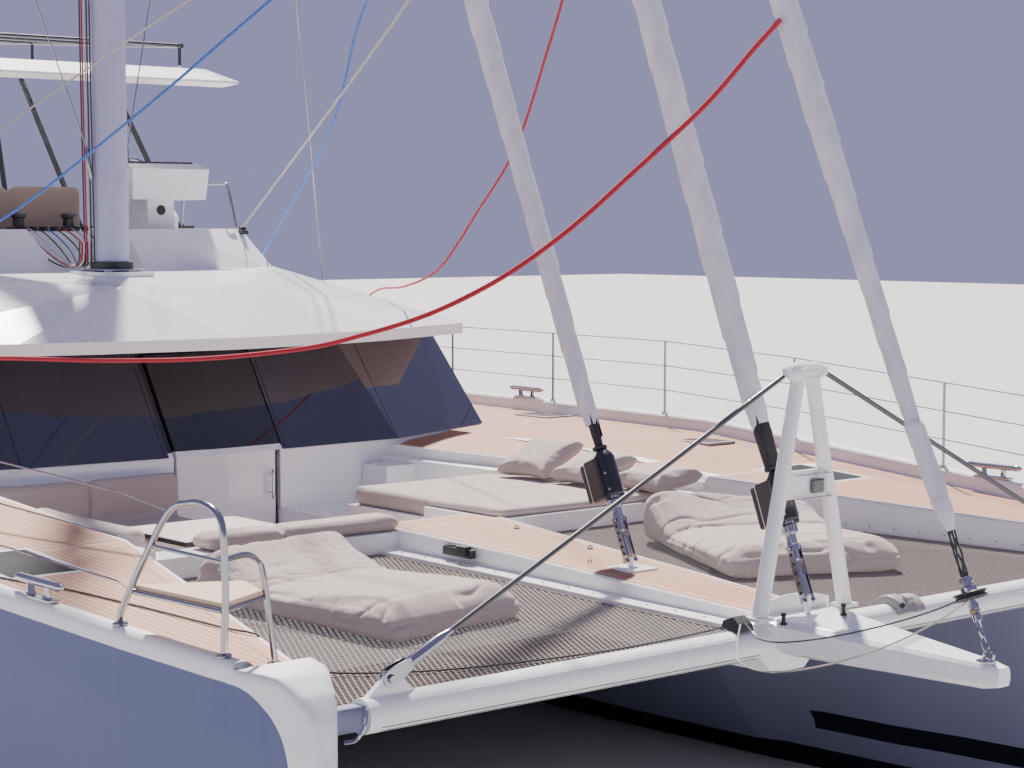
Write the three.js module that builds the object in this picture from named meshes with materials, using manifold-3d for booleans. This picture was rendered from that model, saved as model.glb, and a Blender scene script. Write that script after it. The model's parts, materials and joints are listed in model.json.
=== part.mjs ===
// Sailing catamaran at rest afloat, sails furled and stowed.
// Millimetres. +X forward, +Y port, +Z up. The origin is amidships on the centreline, at the waterline.
import * as THREE from 'three';
import { ConvexGeometry } from 'three/addons/geometries/ConvexGeometry.js';
import { mergeVertices } from 'three/addons/utils/BufferGeometryUtils.js';
import Module from 'manifold-3d';

const wasm = await Module();
wasm.setup();

// Driving dimensions
const GAP = 0.3; // between pieces that touch
const LUG = 26; // half-width of the block that a stay ends on

// Hulls
const HULL = {
  centreY: 3950,
  joinY: 2700, // vertical plane where a hull meets the bridgedeck
  deckZ: 2550,
  sheerStartX: 4500, // forward of this the deck falls away
  sheerSlope: 0.06,
  stemX: 10130, // forward of this the stem head rounds down
  stemSlope: 2.6,
  bulwarkHeight: 130,
  bulwarkWidth: 95,
};
// Stations of the port hull: x, keel z, then y of the inner deck edge, outer deck edge,
// inner waterline and outer waterline.
const STATIONS = [
  [-10250, -40, 2900, 4950, 3200, 4760],
  [-8000, -330, 2700, 5000, 3150, 4800],
  [-5000, -620, 2700, 5000, 3130, 4820],
  [-1000, -750, 2700, 4960, 3130, 4800],
  [2200, -740, 2700, 4770, 3190, 4700],
  [4500, -690, 2700, 4580, 3280, 4550],
  [6300, -640, 2700, 4430, 3400, 4400],
  [7700, -590, 3050, 4300, 3540, 4230],
  [8800, -540, 3343, 4190, 3680, 4110],
  [9500, -490, 3530, 4100, 3760, 4010],
  [9900, -450, 3650, 4030, 3800, 3950],
  [10130, -410, 3740, 3960, 3835, 3905],
  [10250, -360, 3830, 3885, 3850, 3875],
];
// The raised nose forward of the bulwark: x, y of its inner and outer side, z of its top
const NOSE = [
  [9560, 3568, 4075, 2290],
  [9700, 3595, 4053, 2335],
  [9900, 3652, 4018, 2335],
  [9990, 3690, 3990, 2325],
  [10118, 3745, 3950, 2245],
  [10190, 3790, 3915, 2145],
  [10215, 3815, 3895, 2030],
  [10225, 3825, 3888, 1900],
];
const STEPS = { startX: -7700, tread: 390, rise: 410, count: 5, innerY: 2760, outerWall: 110 };
const KEEL = { halfLength: 1900, draft: 1550, footHalfLength: 1500, halfWidth: 150, footHalfWidth: 110 };
const ENGINE = { x0: -6900, x1: -5750, y0: 3480, y1: 4420, floorZ: 150, margin: 90, height: 760, rebate: 60 };
const DRIVE = { x: -7250, z: -900, legChord: 300, podRadius: 75, podLength: 420 };
const PROPELLER = { x: -7520, radius: 270, hubRadius: 62, blades: 3 };
const RUDDER = {
  x: -8750,
  topZ: -330,
  bottomZ: -1350,
  lead: 180,
  chord: 640,
  stockRadius: 40,
  stockTopZ: 300,
};
const DECK_HATCH = { x0: 6210, x1: 7010, y0: 3360, y1: 3900, thickness: 26 };

// Bridgedeck
const BRIDGE = { x0: -8900, x1: 6290, undersideZ: 1000, floorZ: 1600, noseX: 5200, noseRise: 350 };
const SIDE_Y = HULL.joinY - GAP; // its side faces
const AISLE = { x1: -8800, y0: 1700, y1: 2700, z0: 1300 }; // beside the aft bench
const RIM = [ // the inner rim of the port side deck: x, y, z
  [2800, 1654, 2535],
  [3670, 1900, 2500],
  [BRIDGE.x1, 2640, 2395],
];
const RIM_LEDGE = { width: 110, drop: 100 };
const SEAT = { z: 2000, padZ: 2120 };
const SUNBED = { z: 2200, stepX: 5350, stepZ: 2285, padZ: 2350 };
const COAMING_Z = 2290;
const HOUSE_BLOCKS = [ // moulded up to the deckhouse walls: x range, y range, top
  [3200, 3560, 1450, 1800, 2370],
  [2800, 4340, 520, SIDE_Y, 2050],
  [2800, 3345, -SIDE_Y, -600, 2440],
];
const BLOCKS = [ // x range, y range, top
  [3335, 3900, -SIDE_Y, -600, SEAT.z],
  [3890, 5460, -SIDE_Y, -2050, SEAT.z],
  [5450, BRIDGE.x1, -SIDE_Y, -480, SEAT.z],
  [4480, BRIDGE.x1, -SIDE_Y, -2480, 2350],
  [5980, BRIDGE.x1, -SIDE_Y, -470, 2285],
  [5900, BRIDGE.x1, -490, 490, COAMING_Z],
  [5560, 5910, -490, 490, 1900],
  [4330, BRIDGE.x1, 480, SIDE_Y, SUNBED.z],
  [SUNBED.stepX, BRIDGE.x1, 480, SIDE_Y, SUNBED.stepZ],
  [-4400, 2200, 2060, SIDE_Y, 2500],
  [BRIDGE.x0, BRIDGE.x0 + 700, -1700, 1700, 2050],
  [BRIDGE.x0, BRIDGE.x0 + 160, -1700, 1700, 2450],
];
const TABLE = { x: 4830, y: -1145, halfLength: 470, halfWidth: 505, topZ: 2210, pedestal: 60, foot: 200 };

// Deckhouse
const WALL = { thickness: 60, sillZ: 2560, topZ: 3449.7, aftX: -4600, glassTopZ: 3425, glass: 14 };
const FACES = [ // angle from +X in degrees, distance at the sill, inward lean per mm of height
  { angle: 3.4, distance: 3270, lean: 0.66 },
  { angle: 22.8, distance: 3639, lean: 0.72 },
  { angle: 90, distance: 3360, lean: 0.18 },
];
const WINDOWS = [ // y and z corners of a front window opening
  [[660, 2640], [1760, 2640], [1800, 3350], [660, 3350]],
  [[2010, 2640], [3180, 2640], [3040, 3350], [1990, 3350]],
];
const SIDE_WINDOWS = { z: [2660, 3340], x: [[-600, 1700], [-4200, -800]] };
const AFT_WINDOW = [1950, 2900]; // y range
const DOOR = {
  halfWidth: 490,
  openHalfWidth: 545,
  z0: 1630,
  z1: 3392,
  hingeX: 3290,
  hingeY: -505,
  hinges: [1850, 2420],
};
const DOOR_HANDLE = { x: 3310, y: 430, z: [2180, 2380], radius: 12 };
const AFT_DOOR = { halfWidth: 640, openHalfWidth: 560, z0: 1630, z1: 3380, handleY: -560 };

// Coachroof
const ROOF = { edgeZ: 3450, fasciaZ: 3550, floorZ: 3950, coamingZ: 4450 };
const VISOR = [ // x, half-width
  [3400, 0], [3250, 1200], [3090, 1820], [2550, 3120], [-8000, 3120], [-8400, 2700],
];
const CREST = [ // x, half-width, z
  [2750, 700, 3975], [1000, 2050, 4050], [-560, 3000, 4050], [-8000, 3000, 4050], [-8250, 2600, 4050],
];
const COAMING = [ // x and half-width of its foot, x and half-width of its top
  [620, 1100, 200, 1300], [-260, 2850, -550, 2600], [-8150, 2850, -8100, 2600],
];
const FLY_WELL = [ // x, half-width
  [50, 1180], [-660, 2470], [-7980, 2470],
];
const CEILING = [ // x, half-width, z
  [2400, 1900, 3440], [2000, 2850, 3440], [-4530, 2850, 3440],
  [1900, 900, 3850], [800, 1500, 3850], [-600, 2500, 3850], [-4530, 2500, 3850],
];
const ROPE_TROUGH = [ // the way of the ropes through the coaming, beside the mast
  [-200, -280, 4500], [900, -280, 4500], [-200, -120, 4062], [900, -20, 4062],
  [-200, 800, 4062], [900, 800, 4062], [-200, 800, 4500], [900, 800, 4500],
];

// Rig
const MAST = { x: 1340, footZ: 4070, topZ: 28900, halfLength: 210, halfWidth: 140, rake: 0.4 };
const SPREADERS = [ // height, half-span, sweep
  [12000, 2200, 1500],
  [18600, 1300, 880],
];
const STAYS = { // x and z of tack and head, all on the centreline
  genoa: { tack: [9790, 2215], head: [1480, 23850] },
  staysail: { tack: [8220, 2265], head: [1530, 18120] },
  code_zero: { tack: [11130, 2110], head: [1650, 25460] },
};
const SHROUD = { footX: -2100, footY: 4860, footZ: 2740, headY: 190, headZ: 24600, radius: 9 };
const BOOM = { z: 6980, endX: -8000, halfWidth: 150, halfHeight: 130, bagTopZ: 7900 };
const DRIVE_BOX = {
  z: 2820,
  back: 45, // the box's middle behind the stay
  below: 175,
  above: 170,
  halfLength: 105,
  halfWidth: 112,
  toggleZ: 2420,
};
const FURLED = { // height and radius from foot to head
  genoa: [[3330, 44], [3331, 74], [3800, 92], [4900, 114], [9000, 120], [21500, 80], [22400, 30]],
  staysail: [[3230, 42], [3231, 74], [3700, 86], [4800, 105], [9000, 108], [16000, 66], [17000, 28]],
  code_zero: [
    [2392, 100], [2432, 100], [2433, 22], [2720, 24], [2740, 78], [2800, 100], [3190, 100], [3265, 74],
    [3300, 52], [4000, 82], [5000, 100], [9000, 104], [22500, 60], [23400, 20],
  ],
};

// Foredeck
const BEAM = { x: 9750, z: 2000, radius: 95, halfSpan: 3330 };
const PINS = { stayY: 3150, stayZ: 2175, topY: 150, topZ: 3610 };
const FRAME = { footY: 385, foot: 50, legY: 54, leg: 44, panel: [[2840, 236], [3010, 196]] };
const FRAME_CAP = [[-153, 14], [-142, 38], [-122, 52], [-95, 58], [95, 58], [122, 52], [142, 38], [153, 14]];
const STAY_FIN = [ // y, z, half-thickness
  [2960, 2070, 22],
  [3320, 2070, 22],
  [3110, 2195, 12],
  [3165, 2200, 12],
];
const WALK = [ // x, z of the walkway's top, half-width of its top
  [6290 + GAP, 2308, 480],
  [7500, 2250, 370],
  [8500, 2195, 320],
  [9300, 2150, 258],
  [9640 - GAP, 2132, 235],
];
const LEDGE = { out: 170, bottomZ: 1760 };
const NET = { thickness: 14, frontX: 9660.5, x: 9600, z: 2040, slope: 0.0286 };
// Front edge's middle, heading of the back in degrees, width and length, ridge height at starboard and port
const LOUNGERS = [
  { side: 'starboard', at: [8635, -1785], heading: 8.5, size: [1290, 1750], ridge: [380, 380], lift: 2.75 },
  { side: 'port', at: [8700, 1330], heading: -22, size: [1450, 1600], ridge: [465, 290], lift: 7 },
];
const LOUNGER = { frontZ: 215, valleyZ: 165, valley: 0.66, crest: 0.93 };
const RAIL_TUBE = 19;
const WIRE = 5;
const POSTS = { x: [7450, 5650, 3850, 2050, 250, -1550, -3350, -5150, -6950], wires: [695, 460, 225] };

// Flybridge
const HARDTOP = {
  frontX: -300,
  slope: 0.075, // rise going aft
  rack: { x: [-1000, -2650, -4300, -6000], y: 2150, height: 235 },
  struts: [[-1650, -2950, 6150], [-3850, -5150, 6330], [-5650, -5950, 6380]], // foot x, head x, head z
  strutFootY: 2500,
  strutHeadY: 2400,
};
const HELM = { y: 1475, wheelX: -900, wheelZ: 4790, wheelRadius: 385 };

// Soft goods: x range, y range, z range, softness of the edges
const CUSHIONS = {
  dinette_cushions: [
    [3400, 3960, -2640, -590, SEAT.z + GAP, SEAT.padZ, 20],
    [3400, 5960, -2460, -2060, SEAT.z + GAP, SEAT.padZ, 20],
    [5460, 5970, -2460, -490, SEAT.z + GAP, SEAT.padZ, 20],
    [3352, 3500, -2250, -580, SEAT.z + 20, 2480, 30],
    [4490, 5975, -2475, -2330, SEAT.z + 20, 2460, 30],
  ],
  coaming_cushion: [[5985, 6270, -2050, -420, COAMING_Z + GAP, 2400, 30]],
  flybridge_sofa: [
    [-1520, -820, -720, 900, ROOF.floorZ + GAP, 4380, 20],
    [-960, -800, -720, 900, 4200, 4900, 30],
  ],
  flybridge_lounge: [
    [-7900, -7150, -2380, 1100, ROOF.floorZ + GAP, 4350, 20],
    [-7900, -4600, -2440, -1750, ROOF.floorZ + GAP, 4350, 20],
  ],
  saloon_sofa: [
    [-3900, -300, -2640, -1900, BRIDGE.floorZ + GAP, 2050, 20],
    [-3900, -300, -2660, -2480, 1900, 2500, 30],
    [-900, -300, -2640, -700, BRIDGE.floorZ + GAP, 2050, 20],
  ],
  aft_cockpit_cushion: [
    [-8730, -8210, -1640, 1640, 2050 + GAP, 2170, 20],
    [-8738, -8600, -1640, 1640, 2100, 2540, 30],
  ],
};
const MATTRESS = [ // outline as x and y, and underside of its thick and its thin half
  { outline: [[4350, 510], [5349, 510], [5349, 2205], [4350, 1950]], z: SUNBED.z + GAP },
  { outline: [[5250, 510], [6270, 510], [6270, 2440], [5250, 2180]], z: SUNBED.stepZ + GAP },
];
const PILLOWS = [ // x and y of the centre, width, tilt and turn in degrees
  [4930, 2050, 620, 26, 3],
  [5560, 2090, 570, 16, -3],
  [6160, 2240, 570, 6, 0],
];
const PILLOW = { halfDepth: 280, halfThickness: 78, soft: 45 };

const mm = (x, y, z) => new THREE.Vector3(x, y, z);
const deckZ = (x) => HULL.deckZ - HULL.sheerSlope * Math.max(0, x - HULL.sheerStartX);
const stemDrop = (x) => HULL.stemSlope * Math.max(0, x - HULL.stemX);

const bothSides = (points) => points.flatMap(([x, y, z]) => [[x, y, z], [x, -y, z]]);

// Solids and booleans
function solid(geometry) {
  const bare = geometry.clone();
  bare.deleteAttribute('normal');
  bare.deleteAttribute('uv');
  const merged = mergeVertices(bare, 1e-3);
  const mesh = new wasm.Mesh({
    numProp: 3,
    vertProperties: Float32Array.from(merged.attributes.position.array),
    triVerts: Uint32Array.from(merged.index.array),
  });
  return new wasm.Manifold(mesh);
}

function facets(manifold) {
  const mesh = manifold.getMesh();
  const indexed = new THREE.BufferGeometry();
  indexed.setAttribute('position', new THREE.BufferAttribute(new Float32Array(mesh.vertProperties), 3));
  indexed.setIndex(Array.from(mesh.triVerts));
  const flat = indexed.toNonIndexed();
  flat.computeVertexNormals();
  return flat;
}

const join = (...solids) => wasm.Manifold.union(solids.flat());
const cut = (body, ...tools) => body.subtract(wasm.Manifold.union(tools.flat()));
const mirrored = (body) => body.mirror([0, 1, 0]);

function box(x0, x1, y0, y1, z0, z1) {
  const shape = new THREE.BoxGeometry(x1 - x0, y1 - y0, z1 - z0);
  shape.translate((x0 + x1) / 2, (y0 + y1) / 2, (z0 + z1) / 2);
  return solid(shape);
}

// The block that a stay ends on, or grown by the gap, the room cut for it.
const lug = (x, y, z, grown = 0) => box(
  x - LUG - grown, x + LUG + grown, y - LUG - grown, y + LUG + grown, z - LUG - grown, z + LUG + grown);

// The convex body around points given as [x, y, z].
const wrap = (points) => solid(new ConvexGeometry(points.map((p) => mm(...p))));

// A soft slab over a convex outline given as [x, y], its corners and its edges blunted.
function slab(outline, z0, z1, soft) {
  const points = [];
  const corners = outline.map(([x, y]) => new THREE.Vector2(x, y));
  corners.forEach((corner, i) => {
    const next = corners[(i + 1) % corners.length].clone().sub(corner).normalize();
    const last = corners.at(i - 1).clone().sub(corner).normalize();
    for (const [z, inset] of [[z0, soft], [z0 + soft, 0], [z1 - soft, 0], [z1, soft]]) {
      for (const [a, b] of [[inset + soft, inset], [inset, inset + soft]]) {
        const place = corner.clone().addScaledVector(next, a).addScaledVector(last, b);
        points.push([place.x, place.y, z]);
      }
    }
  });
  return wrap(points);
}

const pad = (x0, x1, y0, y1, z0, z1, soft) => slab([[x0, y0], [x1, y0], [x1, y1], [x0, y1]], z0, z1, soft);

// A straight round bar between two points.
function rod(a, b, radius, radiusEnd = radius, sides = 8) {
  const from = mm(...a);
  const to = mm(...b);
  const shape = new THREE.CylinderGeometry(radiusEnd, radius, from.distanceTo(to), sides);
  const turn = new THREE.Quaternion().setFromUnitVectors(mm(0, 1, 0), to.clone().sub(from).normalize());
  shape.applyQuaternion(turn);
  shape.translate(...from.clone().add(to).multiplyScalar(0.5).toArray());
  return solid(shape);
}

// A round tube along a smooth path.
function tube(points, radius, steps = 18, sides = 8) {
  const circle = new THREE.Shape();
  for (let i = 0; i < sides; i += 1) {
    const angle = (2 * Math.PI * i) / sides;
    const place = [radius * Math.cos(angle), radius * Math.sin(angle)];
    if (i === 0) circle.moveTo(...place);
    else circle.lineTo(...place);
  }
  const path = new THREE.CatmullRomCurve3(points.map((p) => mm(...p)), false, 'centripetal');
  return solid(new THREE.ExtrudeGeometry(circle, { steps, extrudePath: path, bevelEnabled: false }));
}

// A closed body through rings of equal point counts, capped from each end ring's centre.
function loft(rings) {
  const count = rings[0].length;
  const positions = rings.flat(2);
  const triangles = [];
  for (let r = 0; r + 1 < rings.length; r += 1) {
    for (let i = 0; i < count; i += 1) {
      const a = r * count + i;
      const b = r * count + ((i + 1) % count);
      triangles.push(a, b, a + count, b, b + count, a + count);
    }
  }
  for (const [ring, flip] of [[0, true], [rings.length - 1, false]]) {
    const centre = positions.length / 3;
    for (let axis = 0; axis < 3; axis += 1) {
      positions.push(rings[ring].reduce((sum, p) => sum + p[axis], 0) / count);
    }
    for (let i = 0; i < count; i += 1) {
      const a = ring * count + i;
      const b = ring * count + ((i + 1) % count);
      triangles.push(...(flip ? [centre, b, a] : [centre, a, b]));
    }
  }
  const shape = new THREE.BufferGeometry();
  shape.setAttribute('position', new THREE.Float32BufferAttribute(positions, 3));
  shape.setIndex(signedVolume(positions, triangles) < 0 ? triangles.reverse() : triangles);
  return solid(shape);
}

function signedVolume(positions, triangles) {
  const corner = (i) => mm(positions[3 * i], positions[3 * i + 1], positions[3 * i + 2]);
  let volume = 0;
  for (let t = 0; t < triangles.length; t += 3) {
    const [a, b, c] = [corner(triangles[t]), corner(triangles[t + 1]), corner(triangles[t + 2])];
    volume += a.dot(b.cross(c)) / 6;
  }
  return volume;
}

// Scene graph
const catamaran = new THREE.Group();
catamaran.name = 'sailing_catamaran';

const COLOURS = { // colour, roughness, metalness
  topsides: ['#7d8c9c', 0.35, 0],
  gelcoat: ['#eef0f2', 0.35, 0],
  glass: ['#141826', 0.1, 0],
  cushion: ['#b3a79c', 0.9, 0],
  sailcloth: ['#f1f1ef', 0.8, 0],
  net: ['#7c7069', 0.9, 0],
  steel: ['#c9ccd0', 0.25, 1],
  alloy: ['#d7dade', 0.4, 0.4],
  black: ['#1b1c1f', 0.5, 0],
  engine: ['#4a5058', 0.6, 0.3],
};

function add(name, look, body) {
  const [color, roughness, metalness] = COLOURS[look];
  const mesh = new THREE.Mesh(facets(body), new THREE.MeshStandardMaterial({ color, roughness, metalness }));
  mesh.name = name;
  catamaran.add(mesh);
}

function addBothSides(name, look, port) {
  add(`${name}_port`, look, port);
  add(`${name}_starboard`, look, mirrored(port));
}

// Where a station column stands at x.
function stationAt(x, column) {
  const next = Math.max(1, STATIONS.findIndex((row) => row[0] >= x));
  const [before, after] = [STATIONS[next - 1], STATIONS[next]];
  return before[column] + ((x - before[0]) / (after[0] - before[0])) * (after[column] - before[column]);
}
const innerDeck = (x) => stationAt(x, 2);
const outerDeck = (x) => stationAt(x, 3);

function hullRing([x, keel, inner, outer, innerWater, outerWater]) {
  const keelY = (innerWater + outerWater) / 2;
  const top = deckZ(x) - stemDrop(x);
  const blend = (a, b, t) => a + (b - a) * t;
  const innerFoot = Math.max(inner, blend(inner, innerWater, x > 6300 ? 0.4 : 0));
  return [
    [x, keelY, keel],
    [x, blend(keelY, outerWater, 0.72), keel * 0.72],
    [x, outerWater, 0],
    [x, blend(outerWater, outer, 0.55), 1000],
    [x, outer, top - 240],
    [x, outer - 12, top],
    [x, inner, top],
    [x, inner, Math.min(1900, top - 40)],
    [x, innerFoot, 1000],
    [x, innerWater, 0],
    [x, blend(keelY, innerWater, 0.72), keel * 0.72],
  ];
}

// The raised edge along the outside of the deck, from x0 to x1.
function bulwark(x0, x1) {
  const marks = [x0, ...STATIONS.map((row) => row[0]).filter((x) => x > x0 && x < x1), x1];
  return loft(marks.map((x) => {
    const outer = outerDeck(x) - 12;
    const width = Math.min(HULL.bulwarkWidth, (outer - innerDeck(x)) / 2);
    const top = deckZ(x) + HULL.bulwarkHeight;
    return [
      [x, outer, top - 150 - HULL.bulwarkHeight],
      [x, outer, top - 25],
      [x, outer - 20, top],
      [x, outer - width + 20, top],
      [x, outer - width, top - 25],
      [x, outer - width, top - 150 - HULL.bulwarkHeight],
    ];
  }));
}

const nose = () => wrap(NOSE.flatMap(([x, inner, outer, top]) => [
  [x, inner, 1850], [x, outer, 1850], [x, inner, top], [x, outer, top],
]));

function keelFin() {
  const ring = (halfLength, halfWidth, z) => {
    const points = [];
    for (let i = 0; i < 12; i += 1) {
      const angle = (2 * Math.PI * i) / 12;
      points.push([halfLength * Math.cos(angle), HULL.centreY + halfWidth * Math.sin(angle), z]);
    }
    return points;
  };
  return wrap([
    ...ring(KEEL.halfLength, KEEL.halfWidth, -600),
    ...ring(KEEL.footHalfLength, KEEL.footHalfWidth, -KEEL.draft),
  ]);
}

function driveLeg() {
  const y = HULL.centreY;
  const { x, z, legChord, podRadius, podLength } = DRIVE;
  const section = (top) => [
    [x + legChord, y, top], [x + 60, y + 60, top], [x - 120, y + 30, top],
    [x - 120, y - 30, top], [x + 60, y - 60, top],
  ];
  const podX = PROPELLER.x + 60;
  return join(
    wrap([...section(-200), ...section(z)]),
    cut(
      rod([podX, y, z], [podX + podLength, y, z], podRadius, 40, 14),
      rod([podX - 10, y, z], [podX + 90, y, z], 20.8, 20.8, 24),
    ),
  );
}

// A box in the engine space between two heights, grown sideways.
const overEngine = (grown, z0, z1) => box(
  ENGINE.x0 - grown, ENGINE.x1 + grown, ENGINE.y0 - grown, ENGINE.y1 + grown, z0, z1);

// The stern steps, cut from the deck down to the bathing platform.
function sternCuts() {
  const cuts = [];
  for (let i = 0; i < STEPS.count; i += 1) {
    const x = STEPS.startX - STEPS.tread * i;
    const z = HULL.deckZ - STEPS.rise * (i + 1);
    cuts.push(box(-10400, x, STEPS.innerY, outerDeck(x) - STEPS.outerWall, z, 3000));
  }
  const flank = [[STEPS.startX + 250, 2700], [STEPS.startX + 250, 3200], [-10600, 3200], [-10600, 700]];
  cuts.push(wrap(flank.flatMap(([x, z]) => [[x, 2000, z], [x, 5400, z]])));
  return cuts;
}

function hull() {
  const body = join(
    loft(STATIONS.map(hullRing)),
    bulwark(-10100, 9700),
    nose(),
    keelFin(),
    driveLeg(),
    box(BEAM.x - 45, BEAM.x + 45, BEAM.halfSpan + GAP, 3680, BEAM.z - 62, BEAM.z + 62),
    box(SHROUD.footX - 14, SHROUD.footX + 14, SHROUD.footY - 10, SHROUD.footY + 10, 2600, SHROUD.footZ),
    lug(SHROUD.footX, SHROUD.footY, SHROUD.footZ),
  );
  return cut(
    body,
    sternCuts(),
    overEngine(0, ENGINE.floorZ, 3000),
    overEngine(ENGINE.rebate, HULL.deckZ - 30, 3000),
    rod([RUDDER.x, HULL.centreY, -700], [RUDDER.x, HULL.centreY, RUDDER.stockTopZ], 41, 41, 20),
    tilted(DECK_HATCH, -6, -6, 6, 0, 60),
  );
}

// The deck hatch's box laid on the sloping deck, grown aft, sideways, forward, and raised or lowered.
function tilted(hatch, aft, side, fore, down, up) {
  const { x0, x1, y0, y1, thickness } = hatch;
  const slope = Math.atan(HULL.sheerSlope);
  const shape = new THREE.BoxGeometry(x1 - x0 + fore - aft, y1 - y0 - 2 * side, thickness + down + up);
  shape.translate((x1 - x0 + fore + aft) / 2, 0, (up - thickness - down) / 2);
  shape.rotateY(slope);
  shape.translate(x0, (y0 + y1) / 2, deckZ(x0));
  return solid(shape);
}

function rudder() {
  const y = HULL.centreY;
  const { x, lead, chord, topZ, bottomZ, stockRadius, stockTopZ } = RUDDER;
  const section = (z, scale) => [
    [x + lead * scale, y, z], [x + (lead - 90) * scale, y + 42, z], [x + (lead - 260) * scale, y + 42, z],
    [x + (lead - chord) * scale, y + 6, z], [x + (lead - chord) * scale, y - 6, z],
    [x + (lead - 260) * scale, y - 42, z], [x + (lead - 90) * scale, y - 42, z],
  ];
  return join(
    wrap([...section(topZ, 1), ...section(bottomZ, 0.78)]),
    rod([x, y, topZ - 100], [x, y, stockTopZ - 20], stockRadius, stockRadius, 20),
  );
}

function propeller() {
  const y = HULL.centreY;
  const { x, radius, hubRadius, blades } = PROPELLER;
  const hub = rod([x + 52, y, DRIVE.z], [x - 110, y, DRIVE.z], hubRadius, 30, 14);
  const blade = [];
  for (const [reach, chord, twist] of [[40, 45, 0.9], [150, 95, 0.7], [230, 80, 0.55], [radius, 30, 0.5]]) {
    for (const [along, thick] of [[-1, 0], [0, 9], [1, 0], [0, -9]]) {
      const across = along * chord * Math.cos(twist) + thick * Math.sin(twist);
      const fore = along * chord * Math.sin(twist) - thick * Math.cos(twist);
      blade.push([x - 20 + fore, across, reach]);
    }
  }
  const one = wrap(blade);
  const set = [];
  for (let i = 0; i < blades; i += 1) {
    set.push(one.rotate([(360 * i) / blades, 0, 0]).translate([0, y, DRIVE.z]));
  }
  return join(hub, set, rod([x + 50, y, DRIVE.z], [x + 140, y, DRIVE.z], 20, 20, 16));
}

addBothSides('hull', 'topsides', hull());
addBothSides('rudder', 'topsides', rudder());
addBothSides('propeller', 'steel', propeller());
const [engineTop, rebateZ] = [ENGINE.floorZ + ENGINE.height, HULL.deckZ - 30];
addBothSides('engine', 'engine', overEngine(-ENGINE.margin, ENGINE.floorZ + GAP, engineTop));
addBothSides('engine_hatch', 'gelcoat', overEngine(ENGINE.rebate - 6, rebateZ + GAP, HULL.deckZ + 10));
addBothSides('deck_hatch', 'glass', tilted(DECK_HATCH, 0, 0, 0, -GAP, 4));

// Half outline of the deckhouse walls at height z, grown outwards by a distance.
function wallOutline(z, grown, raked) {
  const lines = FACES.map((face) => {
    const turn = THREE.MathUtils.degToRad(face.angle);
    const lean = raked ? face.lean : 0;
    const at = face.distance - lean * (z - WALL.sillZ) + grown * Math.sqrt(1 + lean * lean);
    return { nx: Math.cos(turn), ny: Math.sin(turn), at };
  });
  const aft = { nx: -1, ny: 0, at: -WALL.aftX + grown };
  const cross = (a, b) => {
    const det = a.nx * b.ny - a.ny * b.nx;
    return [(a.at * b.ny - b.at * a.ny) / det, (a.nx * b.at - b.nx * a.at) / det];
  };
  return [
    cross(lines[0], { nx: 0, ny: 1, at: 0 }),
    cross(lines[0], lines[1]),
    cross(lines[1], lines[2]),
    cross(lines[2], aft),
    cross(aft, { nx: 0, ny: 1, at: 0 }),
  ];
}

// The convex body between the wall outlines at two heights.
function wallBody(z0, z1, grown, raked) {
  const points = [];
  for (const z of [z0, z1]) {
    for (const [x, y] of wallOutline(z, grown, raked)) {
      points.push([x, y, z], [x, -y, z]);
    }
  }
  return wrap(points);
}

// The block under the side deck, with its inner edge moved inboard and its top lowered.
function sideDeck(inboard, drop) {
  const foot = BRIDGE.floorZ - 10;
  const rings = RIM.map(([x, rimY, rimZ]) => [
    [x, rimY - inboard, foot],
    [x, SIDE_Y, foot],
    [x, SIDE_Y, deckZ(x) - 2 - drop],
    [x, rimY - inboard, rimZ - drop],
  ]);
  return loft(rings);
}

// The shell's inside, and all that a piece outside it must stay clear of.
const indoors = () => wallBody(BRIDGE.undersideZ + 400, WALL.sillZ + 2, GAP, false);

// The bridgedeck with both cockpits, the seats and the galley moulded in.
function bridgedeck() {
  const { floorZ, undersideZ, x0, x1, noseX, noseRise } = BRIDGE;
  const bottom = [[x0, undersideZ], [noseX, undersideZ], [x1, undersideZ + noseRise]];
  const side = [...bottom, [x0, floorZ], [x1, floorZ]].map(([x, z]) => [x, SIDE_Y, z]);
  const block = ([xa, xb, ya, yb, top]) => box(xa, xb, ya, yb, floorZ - 10, top);
  const aroundHouse = cut(
    join(sideDeck(0, 0), sideDeck(RIM_LEDGE.width, RIM_LEDGE.drop), HOUSE_BLOCKS.map(block)),
    indoors(),
  );
  const aisle = box(x0 - 10, AISLE.x1, AISLE.y0, AISLE.y1, AISLE.z0, 3000);
  return cut(join(wrap(bothSides(side)), aroundHouse, BLOCKS.map(block)), aisle, mirrored(aisle));
}
add('bridgedeck', 'gelcoat', bridgedeck());

for (const [name, rows] of Object.entries(CUSHIONS)) {
  add(name, 'cushion', join(rows.map((row) => pad(...row))));
}
add('sunbed_mattress', 'cushion', join(MATTRESS.map(({ outline, z }) => slab(outline, z, SUNBED.padZ, 20))));

// Each pillow lies on the mattress and leans on the side deck.
PILLOWS.forEach(([x, y, width, tilt, turn], i) => {
  const { halfDepth, halfThickness, soft } = PILLOW;
  const flat = pad(-width / 2, width / 2, -halfDepth, halfDepth, -halfThickness, halfThickness, soft);
  const pillow = flat.rotate([tilt, 0, 0]).rotate([0, 0, turn]);
  const lowest = pillow.boundingBox().min[2];
  add(`pillow_${i + 1}`, 'cushion', pillow.translate([x, y, SUNBED.padZ + GAP - lowest]));
});

function table() {
  const { x, y, halfLength, halfWidth, topZ, pedestal, foot } = TABLE;
  const floor = BRIDGE.floorZ + GAP;
  return join(
    pad(x - halfLength, x + halfLength, y - halfWidth, y + halfWidth, topZ - 40, topZ, 10),
    rod([x, y, floor], [x, y, topZ - 30], pedestal, pedestal, 16),
    rod([x, y, floor], [x, y, floor + 20], foot, foot, 20),
  );
}
add('cockpit_table', 'gelcoat', table());

const sideways = (outline, x0, x1) => wrap(outline.flatMap(([y, z]) => [[x0, y, z], [x1, y, z]]));

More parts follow.
